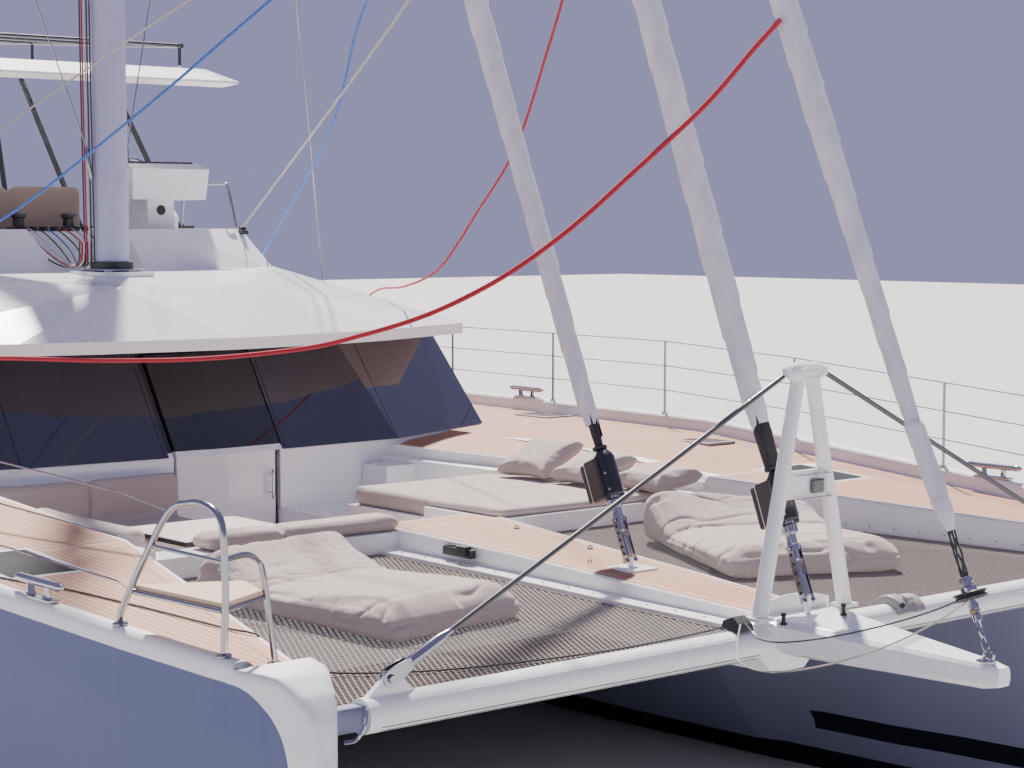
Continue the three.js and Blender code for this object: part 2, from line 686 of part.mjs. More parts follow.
function deckhouse() {
  const { sillZ, topZ, thickness, aftX } = WALL;
  const shell = (z0, z1, raked) => cut(
    wallBody(z0, z1, 0, raked),
    wallBody(z0 - 5, z1 + 5, -thickness, raked),
  );
  const beside = box(-9000, 9000, -HULL.joinY + 1, HULL.joinY - 1, 1000, 4000);
  const lower = shell(BRIDGE.floorZ + GAP, sillZ, false).intersect(beside);
  const { openHalfWidth, hingeX, hingeY, hinges } = DOOR;
  const hingeLeaves = hinges.flatMap((z) => [
    rod([hingeX, hingeY, z - 60], [hingeX, hingeY, z - GAP], 11),
    box(hingeX - 60, hingeX, hingeY - 60, hingeY, z - 50, z - 10),
  ]);
  const floor = BRIDGE.floorZ - 5;
  const openings = [
    ...WINDOWS.map((outline) => sideways(outline, 1200, 4000)),
    ...SIDE_WINDOWS.x.map(([x0, x1]) => box(x0, x1, 2000, 4000, ...SIDE_WINDOWS.z)),
    box(aftX - 50, aftX + 150, ...AFT_WINDOW, ...SIDE_WINDOWS.z),
  ];
  return cut(
    join(
      shell(sillZ, topZ, true),
      lower,
      shell(HULL.deckZ + GAP, sillZ, false),
      box(aftX - 60, aftX + 1, -700, 1900, AFT_DOOR.z1 + GAP, 3440),
    ),
    box(2000, 4000, -DOOR.halfWidth - 25, openHalfWidth, floor, DOOR.z1 + 8),
    box(aftX - 50, aftX + 150, -AFT_DOOR.openHalfWidth, AFT_DOOR.openHalfWidth, floor, AFT_DOOR.z1 - 60),
    openings,
    openings.map(mirrored),
  ).add(join(hingeLeaves));
}
add('deckhouse', 'gelcoat', deckhouse());

// Tinted glass laid on the outside of the walls, from beside the front door round to the stern side.
function glazing() {
  const { sillZ, aftX, glassTopZ, glass } = WALL;
  return cut(
    wallBody(sillZ + 4, glassTopZ, glass, true),
    wallBody(sillZ - 20, glassTopZ + 20, GAP, true),
    box(1000, 4000, -5000, DOOR.openHalfWidth + 22, 2000, 4000),
    box(-9000, 4000, -5000, 0, 2000, 4000),
    box(-9000, aftX + 1, -5000, 1900, 2000, 4000),
  );
}
addBothSides('glazing', 'glass', glazing());

// The front door leaf: a slab in the opening, with a plate on its upper half that laps the frame.
function frontDoor() {
  const { halfWidth, openHalfWidth, z0, z1, hingeX, hingeY, hinges } = DOOR;
  const { sillZ } = WALL;
  const leaf = (za, zb, raked) => cut(wallBody(za, zb, 2, raked), wallBody(za - 5, zb + 5, -45, raked))
    .intersect(box(2000, 5000, -halfWidth, halfWidth - 4, z0, z1));
  const sheet = cut(wallBody(sillZ + 4, z1, WALL.glass, true), wallBody(sillZ - 20, z1 + 20, GAP, true));
  const plate = sheet.intersect(box(2000, 5000, -halfWidth, openHalfWidth + 6, z0, z1));
  const { x, y, z: [low, high], radius } = DOOR_HANDLE;
  const handle = rod([x, y, low], [x, y, high], radius);
  const posts = [low + 20, high - 20].map((z) => rod([x - 80, y, z], [x + 2, y, z], 9));
  const knuckles = hinges.flatMap((z) => [
    rod([hingeX, hingeY, z], [hingeX, hingeY, z + 60], 11),
    box(hingeX - 50, hingeX, hingeY, hingeY + 22, z + 10, z + 50),
  ]);
  return join(leaf(z0, sillZ, false), leaf(sillZ, z1, true), plate, handle, posts, knuckles);
}
add('front_door', 'glass', frontDoor());

function aftDoor() {
  const { halfWidth, z0, z1, handleY: y } = AFT_DOOR;
  const x = WALL.aftX - 60;
  return join(
    box(x + 14, x + 54, -halfWidth, halfWidth, z0, z1),
    rod([x, y, 2400], [x, y, 2800], 12),
    [2420, 2780].map((z) => rod([x, y, z], [x + 30, y, z], 9)),
  );
}
add('aft_door', 'glass', aftDoor());

function coachroof() {
  const { edgeZ, fasciaZ, floorZ, coamingZ } = ROOF;
  const edge = VISOR.flatMap(([x, y]) => [[x, y, edgeZ], [x, y, fasciaZ]]);
  const coaming = COAMING.flatMap(([x, y, topX, topY]) => [[x, y, 4000], [topX, topY, coamingZ]]);
  const well = FLY_WELL.flatMap(([x, y]) => [[x, y, floorZ], [x, y, 5000]]);
  return cut(
    join(
      wrap(bothSides([...edge, ...CREST])),
      wrap(bothSides(coaming)),
      box(MAST.x - 330, MAST.x + 330, -250, 250, 3900, MAST.footZ),
    ),
    wrap(bothSides(well)),
    wrap(bothSides(CEILING)),
    wrap(ROPE_TROUGH),
    box(-8200, -4760, -2900, 2900, 3400, 3720),
  );
}
add('coachroof', 'gelcoat', coachroof());

const mastX = (z) => MAST.x - Math.tan(THREE.MathUtils.degToRad(MAST.rake)) * (z - MAST.footZ);

// Mast with its heel, spreaders, masthead and the lugs that the stays end on
function mast() {
  const ring = (z, halfLength, halfWidth) => {
    const points = [];
    for (let i = 0; i < 20; i += 1) {
      const angle = (2 * Math.PI * i) / 20;
      points.push([mastX(z) + halfLength * Math.cos(angle), halfWidth * Math.sin(angle), z]);
    }
    return points;
  };
  const { footZ, topZ, halfLength, halfWidth } = MAST;
  const blade = (x, y, z, scale) => [[1, 1], [-1, 1], [1, -1], [-1, -1]].map(([fore, up]) => [
    x + 60 * scale * fore, y, z + 20 * scale * up,
  ]);
  const spreaders = SPREADERS.flatMap(([z, span, sweep]) => [1, -1].map((side) => wrap([
    ...blade(mastX(z), side * 60, z, 1),
    ...blade(mastX(z) - sweep, side * span, z, 0.5),
  ])));
  const heads = Object.values(STAYS).flatMap(({ head: [x, z] }) => [
    lug(x, 0, z),
    rod([mastX(z), 0, z], [x, 0, z], 22),
  ]);
  const hounds = [1, -1].map((side) => lug(mastX(SHROUD.headZ), side * SHROUD.headY, SHROUD.headZ));
  const tangs = [1, -1].map((side) => rod(
    [mastX(SHROUD.headZ), 0, SHROUD.headZ],
    [mastX(SHROUD.headZ), side * SHROUD.headY, SHROUD.headZ],
    18,
  ));
  return join(
    loft([ring(footZ + GAP, halfLength, halfWidth), ring(topZ, halfLength * 0.8, halfWidth * 0.8)]),
    box(MAST.x - 260, MAST.x + 260, -190, 190, footZ + GAP, footZ + 24),
    box(mastX(topZ) - 480, mastX(topZ) + 260, -55, 55, topZ - 160, topZ),
    spreaders, heads, hounds, tangs,
    box(mastX(BOOM.z) - 300, mastX(BOOM.z) - 150, -45, 45, BOOM.z - 190, BOOM.z - 110),
    box(mastX(BOOM.z) - 300, mastX(BOOM.z) - 150, -45, 45, BOOM.z + 110, BOOM.z + 190),
  );
}
add('mast', 'alloy', mast());

const PIN = { x: mastX(BOOM.z) - 265 };
add('gooseneck', 'steel', join(
  rod([PIN.x, 0, BOOM.z - 110 + GAP], [PIN.x, 0, BOOM.z + 110 - GAP], 30, 30, 14),
  box(PIN.x - 90, PIN.x, -24, 24, BOOM.z - 45, BOOM.z + 45),
  rod([PIN.x - 70, -29 + GAP, BOOM.z], [PIN.x - 70, 29 - GAP, BOOM.z], 12),
));

// Boom: a tapered spar with a fork at its forward end, and the sail bag that lies on it
function boom() {
  const { z, endX, halfWidth, halfHeight } = BOOM;
  const front = PIN.x - 120;
  const corners = (x, w, h, rise) => bothSides([[x, w, z + rise + h], [x, w * 0.55, z + rise - h]]);
  const cheek = box(front - 60, PIN.x - 45, 29, 55, z - 50, z + 50);
  return join(
    wrap([
      ...corners(front, 80, 90, 0),
      ...corners(front - 900, halfWidth, halfHeight, 0),
      ...corners(endX + 900, halfWidth, halfHeight, 0),
      ...corners(endX, 90, 80, 20),
    ]),
    cheek,
    mirrored(cheek),
  );
}
add('boom', 'alloy', boom());
const bagRing = (x, w, top) => bothSides([
  [x, w * 0.8, BOOM.z + BOOM.halfHeight + GAP],
  [x, w, BOOM.z + BOOM.halfHeight + 160],
  [x, w * 0.35, top],
]);
add('sail_bag', 'sailcloth', wrap([
  ...bagRing(PIN.x - 260, 150, BOOM.bagTopZ),
  ...bagRing(PIN.x - 1400, 235, BOOM.bagTopZ - 60),
  ...bagRing(BOOM.endX + 500, 190, BOOM.z + BOOM.halfHeight + 420),
]));

// Furled headsails, each turning about its stay, and the drives below them
const onStay = ({ tack: [tackX, tackZ], head: [headX, headZ] }, z) => [
  tackX + ((headX - tackX) * (z - tackZ)) / (headZ - tackZ), 0, z,
];

// A body of revolution about a stay, from heights and radii.
function furled(stay, stops) {
  const from = mm(...onStay(stay, stops[0][0]));
  const to = mm(...onStay(stay, stops.at(-1)[0]));
  const along = (z) => ((z - stops[0][0]) / (to.z - from.z)) * from.distanceTo(to);
  const profile = [
    new THREE.Vector2(0, 0),
    ...stops.map(([z, radius]) => new THREE.Vector2(radius, along(z))),
    new THREE.Vector2(0, along(stops.at(-1)[0])),
  ];
  const shape = new THREE.LatheGeometry(profile, 12);
  const turn = new THREE.Quaternion().setFromUnitVectors(mm(0, 1, 0), to.clone().sub(from).normalize());
  shape.applyQuaternion(turn);
  shape.translate(...from.toArray());
  return solid(shape);
}
const leanOf = ({ tack, head }) => Math.atan((tack[0] - head[0]) / (head[1] - tack[1]));
const driveTop = (stay) => [DRIVE_BOX.z + (DRIVE_BOX.above + 1) * Math.cos(leanOf(stay)), 34];

function addFurled(name, foot, tipRadius) {
  const tip = [STAYS[name].head[1] - LUG - 12, tipRadius];
  add(`${name}_furled`, 'sailcloth', furled(STAYS[name], [...foot, ...FURLED[name], tip]));
}
addFurled('genoa', [driveTop(STAYS.genoa)], 26);
addFurled('staysail', [driveTop(STAYS.staysail)], 24);
addFurled('code_zero', [], 16);

function furlerDrive(stay) {
  const [tackX, tackZ] = stay.tack;
  const { z, back, below, above, halfLength, halfWidth, toggleZ } = DRIVE_BOX;
  const [x] = onStay(stay, z);
  const [midX] = onStay(stay, toggleZ);
  return join(
    [1, -1].map((side) => rod([tackX, side * 29.2, tackZ], [midX, side * 29.2, toggleZ], 13, 13, 12)),
    rod([midX, -42, toggleZ], [midX, 42, toggleZ], 22),
    rod([midX, 0, toggleZ], onStay(stay, 2700), 30),
    pad(-back - halfLength, halfLength - back, -halfWidth, halfWidth, -below, above, 28)
      .rotate([0, -THREE.MathUtils.radToDeg(leanOf(stay)), 0])
      .translate([x, 0, z]),
  );
}
add('genoa_furler_drive', 'black', furlerDrive(STAYS.genoa));
add('staysail_furler_drive', 'black', furlerDrive(STAYS.staysail));

// Crossbeam, striker frame, bowsprit and their fittings
const beamBody = (grown) => rod(
  [BEAM.x, -BEAM.halfSpan - grown, BEAM.z], [BEAM.x, BEAM.halfSpan + grown, BEAM.z],
  BEAM.radius + grown, BEAM.radius + grown, 28);
const stayFoot = (side) => [BEAM.x, side * PINS.stayY, PINS.stayZ];
const stayHead = (side) => [BEAM.x, side * PINS.topY, PINS.topZ];
const stayFin = (side) => wrap(STAY_FIN.flatMap(([y, z, half]) => [
  [BEAM.x - half, side * y, z], [BEAM.x + half, side * y, z],
]));
add('crossbeam', 'gelcoat', join(
  cut(
    join(beamBody(0), stayFin(1), stayFin(-1)),
    [1, -1].map((side) => rod(stayFoot(side), stayHead(side), 26)),
  ),
  [1, -1].map((side) => lug(...stayFoot(side))),
));

function bowsprit() {
  const ringAt = (x, w, z0, z1) => bothSides([
    [x, w, z0 + 30], [x, w * 0.8, z0], [x, w, z1 - 25], [x, w * 0.8, z1],
  ]);
  return cut(
    join(
      wrap([
        ...ringAt(9640, 430, 2060, 2130),
        ...ringAt(9870, 330, 1925, 2130),
        ...ringAt(11250, 58, 1910, 2040),
      ]),
      box(9775, 9805, -16, 16, 2100, 2250),
      rod([11130, 0, 2030], [11130, 0, 2200], 17),
      rod(onStay(STAYS.code_zero, 2140), onStay(STAYS.code_zero, 2392 - GAP), 26, 92, 14),
      box(9655, 9671, -330, 330, 2100, 2240),
    ),
    beamBody(GAP),
  );
}
add('bowsprit', 'gelcoat', bowsprit());

function strikerFrame() {
  const { footY, foot, legY, leg, panel } = FRAME;
  const footZ = BEAM.z + 130 + GAP;
  const below = box(9000, 10000, -800, 800, 1900, footZ);
  const legs = [1, -1].map((side) => rod(
    [BEAM.x, side * (footY + 16), footZ - 70], [BEAM.x, side * legY, PINS.topZ], foot, leg, 14));
  const knees = [1, -1].map((side) => box(
    BEAM.x - 60, BEAM.x + 60, side * footY - 62, side * footY + 62, footZ, footZ + 22));
  const cap = FRAME_CAP.flatMap(([y, radius]) => [...Array(14).keys()].map((i) => {
    const angle = (2 * Math.PI * i) / 14;
    return [BEAM.x + radius * Math.cos(angle), y, PINS.topZ + radius * Math.sin(angle)];
  }));
  return join(
    cut(join(legs), below),
    knees,
    wrap(cap),
    wrap(bothSides(panel.flatMap(([z, y]) => [[BEAM.x - 14, y, z], [BEAM.x + 14, y, z]]))),
    [1, -1].map((side) => lug(...stayHead(side))),
  );
}
add('striker_frame', 'gelcoat', strikerFrame());

// A stay rod with a turnbuckle at its lower end, seated on the lug at each end.
function stayRod(foot, head, radius, buckle) {
  const [a, b] = [mm(...foot), mm(...head)];
  const along = (distance) => a.clone().lerp(b, distance / a.distanceTo(b)).toArray();
  return cut(
    join(rod(foot, head, radius, radius, 8), rod(along(45), along(buckle), radius * 2.2, radius * 1.6, 10)),
    lug(...foot, GAP),
    lug(...head, GAP),
  );
}
addBothSides('striker_stay', 'steel', stayRod(stayFoot(1), stayHead(1), 9, 360));
addBothSides('cap_shroud', 'steel', stayRod(
  [SHROUD.footX, SHROUD.footY, SHROUD.footZ],
  [mastX(SHROUD.headZ), SHROUD.headY, SHROUD.headZ], SHROUD.radius, 620));

// Foredeck walkway, with a ledge along each side for the nets
const netZ = (x) => NET.z + (NET.x - x) * NET.slope;
const ledgeZ = (x) => netZ(x) + 30;
const walkZ = (x) => {
  const next = Math.max(1, WALK.findIndex((row) => row[0] >= x));
  const [a, b] = [WALK[next - 1], WALK[next]];
  return a[1] + ((x - a[0]) / (b[0] - a[0])) * (b[1] - a[1]);
};

function walkway() {
  const rings = WALK.map(([x, z, half]) => [
    [x, half, z], [x, half + 8, z - 10], [x, half + 8, ledgeZ(x)], [x, half + LEDGE.out, ledgeZ(x)],
    [x, half + LEDGE.out, ledgeZ(x) - 60], [x, half * 0.6, LEDGE.bottomZ],
    [x, -half * 0.6, LEDGE.bottomZ], [x, -half - LEDGE.out, ledgeZ(x) - 60],
    [x, -half - LEDGE.out, ledgeZ(x)], [x, -half - 8, ledgeZ(x)], [x, -half - 8, z - 10], [x, -half, z],
  ]);
  const tack = STAYS.staysail.tack[0];
  return join(loft(rings), box(tack - 15, tack + 15, -16, 16, walkZ(tack) - 20, 2290));
}
add('foredeck_walkway', 'gelcoat', walkway());

// Trampoline nets, between the walkway's ledge and the hull, sloping up aft
function net() {
  const inner = WALK.map(([x, , half]) => [x, half + LEDGE.out + GAP]);
  const outer = [NET.frontX, 9500, 8800, 7700, 6300, 6290 + GAP].map((x) => [x, innerDeck(x) - GAP]);
  const outline = [...inner, [NET.frontX, 406], ...outer];
  const plan = new THREE.Shape(outline.map(([x, y]) => new THREE.Vector2(x, y)));
  const shape = new THREE.ExtrudeGeometry(plan, { depth: NET.thickness, bevelEnabled: false });
  const place = shape.attributes.position;
  for (let i = 0; i < place.count; i += 1) {
    place.setZ(i, place.getZ(i) + netZ(place.getX(i)) - NET.thickness / 2);
  }
  return solid(shape);
}
addBothSides('trampoline', 'net', net());

// Deck loungers on the nets, each a seat that dips towards a raised back
function lounger({ at: [x, y], heading, size: [width, length], ridge, lift }) {
  const half = width / 2;
  const { frontZ, valleyZ, valley, crest } = LOUNGER;
  // Rows are distance back from the front edge, half-width, and height at starboard and port.
  const part = (rows) => wrap(rows.flatMap(([back, w, z, portZ = z]) => [[-back, -w, z], [-back, w, portZ]]));
  const seat = part([
    [0, half - 20, 60], [70, half - 60, 0], [50, half - 70, frontZ - 30], [150, half - 90, frontZ],
    [length * 0.4, half, 110], [length * valley, half - 70, valleyZ], [length * valley, half, 80],
    [length * valley, half - 60, 0],
  ]);
  const back = part([
    [length * valley - 40, half - 80, valleyZ], [length * valley - 40, half - 10, 80],
    [length * valley - 40, half - 60, 0], [length * crest, half - 100, ...ridge],
    [length * 0.85, half, 130], [length - 20, half - 60, ridge[0] * 0.75, ridge[1] * 0.75],
    [length, half - 30, 110], [length - 60, half - 60, 0],
  ]);
  return join(seat, back).rotate([0, 1.64, 0]).rotate([0, 0, heading])
    .translate([x, y, netZ(x) + NET.thickness / 2 + lift]);
}
LOUNGERS.forEach((row) => add(`lounger_${row.side}`, 'cushion', lounger(row)));

// Pulpit: a hoop on two feet, a low step rail on a third, and a seat between them
function pulpit() {
  const foot = (x, y, z) => rod([x, y, z + GAP], [x, y, z + 14], 42, 42, 14);
  const railZ = (x) => deckZ(x - 42) + HULL.bulwarkHeight;
  const [a, b, c] = [[8750, outerDeck(8750) - 60], [9580, outerDeck(9580) - 55], [9420, 3625]];
  const [za, zb, zc] = [railZ(a[0]), railZ(b[0]), deckZ(c[0] - 42)];
  const hoop = [
    [...a, za + 6],
    [a[0] + 3, a[1], za + 60],
    [8950, a[1], 2740],
    [9150, 4080, 3050],
    [9320, 4060, 3115],
    [9450, 4050, 3120],
    [9560, 4045, 3080],
    [9600, 4040, 2990],
    [9600, b[1], zb + 300],
    [...b, zb + 6],
  ];
  const step = [
    [9600, b[1], 2860],
    [9480, 3830, 2850],
    [9385, 3700, 2790],
    [9385, 3665, 2700],
    [...c, zc + 6],
  ];
  const seat = [[8880, 4095, 2610], [9570, 4035, 2600], [9400, 3672, 2600], [9100, 3590, 2610]];
  return join(
    foot(...a, za), foot(...b, zb), foot(...c, zc),
    tube(hoop, RAIL_TUBE, 20),
    tube(step, RAIL_TUBE, 12),
    rod([9030, a[1] - 8, 2860], [9600, b[1], 2860], RAIL_TUBE * 0.8),
    wrap(seat.flatMap(([x, y, z]) => [[x, y, z], [x, y, z + 26]])),
  );
}
addBothSides('pulpit', 'steel', pulpit());

function lifelines() {
  const place = (x) => [x, outerDeck(x) - 60, deckZ(x - 30) + HULL.bulwarkHeight];
  const parts = POSTS.x.flatMap((x) => {
    const [, y, z] = place(x);
    return [
      rod([x, y, z + GAP], [x, y, z + 700], 14, 12, 6),
      rod([x, y, z + GAP], [x, y, z + 12], 30, 30, 8),
    ];
  });
  const ends = [8728, ...POSTS.x];
  for (let i = 0; i + 1 < ends.length; i += 1) {
    const [[ax, ay, az], [bx, by, bz]] = [place(ends[i]), place(ends[i + 1])];
    POSTS.wires.forEach((h) => parts.push(rod([ax, ay, az + h], [bx, by, bz + h], WIRE, WIRE, 4)));
  }
  return join(parts);
}
addBothSides('lifelines', 'steel', lifelines());

// Hardtop with its rack and struts
function hardtop() {
  const { frontX, slope, rack, struts, strutFootY, strutHeadY } = HARDTOP;
  const outline = (grown) => [
    [-300 + grown, 2250 + grown],
    [-560 + grown * 0.4, 2600 + grown],
    [-7050 - grown * 0.4, 2600 + grown],
    [-7250 - grown, 2300 + grown],
  ];
  const rise = (x) => slope * (frontX - x);
  const layers = [[5905, -160], [5950, 0], [5975, 0], [6085, -330]]; // z at the front, growth
  const shell = layers.flatMap(([z, grown]) => outline(grown).map(([x, y]) => [x, y, z + rise(x)]));
  const top = (x) => 6085 + rise(x);
  const rail = rod(
    [-950, rack.y, top(-950) + rack.height],
    [-6050, rack.y, top(-6050) + rack.height],
    26,
  );
  const rackBars = rack.x.map((x) => join(
    rod([x, -rack.y - 10, top(x) + rack.height], [x, rack.y + 10, top(x) + rack.height], 20),
    [1, -1].map((side) => rod([x, side * rack.y, top(x) - 30], [x, side * rack.y, top(x) + rack.height], 18)),
  ));
  const base = ROOF.coamingZ + GAP;
  const legs = join(
    box(-6300, -1400, strutFootY - 30, strutFootY + 50, base, base + 30),
    struts.map(([foot, head, z]) => rod([foot, strutFootY, base + 27], [head, strutHeadY, z], 34)),
  );
  return join(wrap(bothSides(shell)), rail, mirrored(rail), rackBars, legs, mirrored(legs));
}
add('hardtop', 'gelcoat', hardtop());

// Helm console: a box on a pedestal, with the bore for the wheel's shaft
function helmConsole() {
  const { y, wheelX, wheelZ } = HELM;
  const outline = (points) => wrap(bothSides(points)).translate([0, y, 0]);
  return cut(
    join(
      outline([[-100, 420, 4745], [-60, 440, 5050], [-760, 420, 4745], [-700, 440, 5090], [-330, 440, 5120]]),
      outline([
        [-260, 170, ROOF.floorZ + GAP],
        [-680, 170, ROOF.floorZ + GAP],
        [-280, 150, 4760],
        [-640, 150, 4760],
      ]),
    ),
    rod([-620, y, wheelZ], [wheelX, y, wheelZ], 17.9, 17.9, 24),
    box(wheelX, -690, y - 60, y + 60, wheelZ - 60, wheelZ + 60),
  );
}

function helmWheel() {
  const { y, wheelX, wheelZ, wheelRadius } = HELM;
  const ring = new THREE.TorusGeometry(wheelRadius, 15, 6, 28);
  ring.rotateY(Math.PI / 2);
  ring.translate(wheelX, y, wheelZ);
  const spokes = [];
  for (let i = 0; i < 5; i += 1) {
    const angle = (2 * Math.PI * i) / 5;
    spokes.push(rod([wheelX + 10, y, wheelZ],
      [wheelX, y + wheelRadius * Math.sin(angle), wheelZ + wheelRadius * Math.cos(angle)], 14, 10, 8));
  }
  return join(solid(ring), spokes, rod([-640, y, wheelZ], [wheelX - 30, y, wheelZ], 17, 17, 16),
    rod([wheelX + 40, y, wheelZ], [wheelX - 35, y, wheelZ], 52, 46, 16));
}
addBothSides('helm_console', 'gelcoat', helmConsole());
addBothSides('helm_wheel', 'steel', helmWheel());

export default catamaran;
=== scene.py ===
"""Looks of a sailing catamaran at rest, sails furled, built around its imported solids. Metres, +X forward."""
import json
import math

import bmesh
import bpy
import numpy as np
from mathutils import Matrix, Vector, noise
from mathutils.bvhtree import BVHTree


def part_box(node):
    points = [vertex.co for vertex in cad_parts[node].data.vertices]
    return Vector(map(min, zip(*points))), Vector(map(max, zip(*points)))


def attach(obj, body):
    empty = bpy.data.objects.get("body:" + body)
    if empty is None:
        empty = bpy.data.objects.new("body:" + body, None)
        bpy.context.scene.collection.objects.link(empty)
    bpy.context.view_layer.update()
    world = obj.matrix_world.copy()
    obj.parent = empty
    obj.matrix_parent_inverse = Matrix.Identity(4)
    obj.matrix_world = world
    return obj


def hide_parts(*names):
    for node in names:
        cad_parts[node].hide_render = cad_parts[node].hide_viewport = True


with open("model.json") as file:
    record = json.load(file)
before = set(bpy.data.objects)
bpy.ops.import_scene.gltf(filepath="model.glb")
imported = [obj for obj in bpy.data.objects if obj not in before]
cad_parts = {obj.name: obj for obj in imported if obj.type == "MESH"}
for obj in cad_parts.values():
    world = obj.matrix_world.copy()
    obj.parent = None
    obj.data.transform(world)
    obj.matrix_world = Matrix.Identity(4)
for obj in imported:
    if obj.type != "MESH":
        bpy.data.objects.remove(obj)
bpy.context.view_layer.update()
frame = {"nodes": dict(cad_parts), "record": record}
nodes = frame["nodes"]
scene = bpy.context.scene

# Camera, off the starboard bow
camera = bpy.data.cameras.new("camera")
camera.sensor_width = 36
camera.lens = 73.48
camera.clip_end = 400
eye = bpy.data.objects.new("camera", camera)
scene.collection.objects.link(eye)
scene.camera = eye
pitch = math.radians(4.378)
look = Vector((-0.7649 * math.cos(pitch), 0.6441 * math.cos(pitch), -math.sin(pitch)))
eye.location = (18.26, -9.486, 4.5)
eye.rotation_mode = "QUATERNION"
eye.rotation_quaternion = look.to_track_quat("-Z", "Y")

# Node materials
class Value:
    """A number that shader nodes work out; arithmetic and comparisons on it add further nodes."""

    def __init__(self, graph, socket):
        self.graph = graph
        self.socket = socket


OPERATIONS = {
    "__add__": "ADD", "__sub__": "SUBTRACT", "__mul__": "MULTIPLY", "__truediv__": "DIVIDE",
    "__pow__": "POWER", "__gt__": "GREATER_THAN", "__lt__": "LESS_THAN", "__abs__": "ABSOLUTE",
}
for method, name in OPERATIONS.items():
    setattr(Value, method, lambda *terms, kind=name: terms[0].graph.math(kind, *terms))


class Graph:
    """Adds shader nodes to one material and links them."""

    def __init__(self, name):
        self.material = bpy.data.materials.new(name)
        self.material.use_nodes = True
        self.tree = self.material.node_tree
        self.shader = self.tree.nodes["Principled BSDF"]

    def add(self, kind, *values, **settings):
        node = self.tree.nodes.new("ShaderNode" + kind)
        for key, value in settings.items():
            setattr(node, key, value)
        for index, value in enumerate(values):
            self.put(value, node.inputs[index])
        return node

    def put(self, value, socket):
        if isinstance(value, Value):
            value = value.socket
        if isinstance(value, bpy.types.NodeSocket):
            self.tree.links.new(value, socket)
        elif hasattr(value, "__len__") and len(value) == 3 and len(socket.default_value) == 4:
            socket.default_value = (*value, 1)
        elif value is not None:
            socket.default_value = value

    def put_named(self, node, **values):
        for key, value in values.items():
            self.put(value, node.inputs[key.replace("_", " ")])
        return Value(self, node.outputs[0])

    def set(self, **values):
        self.put_named(self.shader, **values)

    def math(self, operation, *values):
        return Value(self, self.add("Math", *values, operation=operation).outputs[0])

    def mix(self, factor, a, b):
        node = self.add("Mix", data_type="RGBA", blend_type="MIX")
        for value, index in ((factor, 0), (a, 6), (b, 7)):
            self.put(value, node.inputs[index])
        return node.outputs[2]

    def place(self):
        return self.add("TexCoord").outputs["Object"]

    def split(self, vector):
        return [Value(self, output) for output in self.add("SeparateXYZ", vector).outputs]

    def scaled(self, vector, x, y, z):
        return self.add("VectorMath", vector, (x, y, z), operation="MULTIPLY").outputs[0]

    def noise(self, vector, scale, detail=3.0, roughness=0.55):
        node = self.add("TexNoise")
        return self.put_named(node, Vector=vector, Scale=scale, Detail=detail, Roughness=roughness)

    def ramp(self, value, low, high, to_low=0.0, to_high=1.0):
        return Value(self, self.add("MapRange", value, low, high, to_low, to_high).outputs[0])

    def step(self, value, edge, width):
        """0 below edge and 1 above it, over a soft width."""
        return self.ramp(value, edge - width / 2, edge + width / 2)

    def clouded(self, vector, scale, detail, dark, light, low=0.3, high=0.7):
        """Two colours in soft clouds."""
        return self.mix(self.ramp(self.noise(vector, scale, detail), low, high), dark, light)

    def rounded(self, radius):
        """Normals smoothed over the facets within the radius."""
        return self.put_named(self.add("Bevel", samples=6), Radius=radius)

    def bump(self, height, distance, strength=1.0, normal=None):
        node = self.add("Bump")
        return self.put_named(node, Strength=strength, Distance=distance, Height=height, Normal=normal)

    def largest(self, first, *others):
        for other in others:
            first = self.math("MAXIMUM", first, other)
        return first

    def inside(self, *limits):
        """1 where every value is above its low and below its high limit."""
        total = 1.0
        for value, low, high in limits:
            if low is not None:
                total = self.math("MULTIPLY", total, value > low)
            if high is not None:
                total = self.math("MULTIPLY", total, value < high)
        return total


SHADE, LIGHT = (0.87, 0.87, 0.875), (0.9, 0.9, 0.905)


def shades(colour, low, high=1.0):
    return [c * low for c in colour], [min(1, c * high) for c in colour]


def gelcoat():
    """Moulded white with faint streaks."""
    g = Graph("gelcoat")
    p = g.place()
    streak = g.noise(g.scaled(p, 3, 3, 0.35), 3.0, 5)
    tint = g.clouded(p, 0.7, 4, *shades(LIGHT, 0.965))
    tint = g.mix(g.ramp(streak, 0.62, 0.85, 0, 0.16), tint, (0.66, 0.65, 0.63))
    g.set(Base_Color=tint, Roughness=g.ramp(g.noise(p, 24, 3), 0.3, 0.75, 0.2, 0.34), Specular_IOR_Level=0.5)
    g.set(Coat_Weight=0.35, Coat_Roughness=0.08, Normal=g.bump(g.noise(p, 9, 2), 0.0016, 0.35))
    return g.material


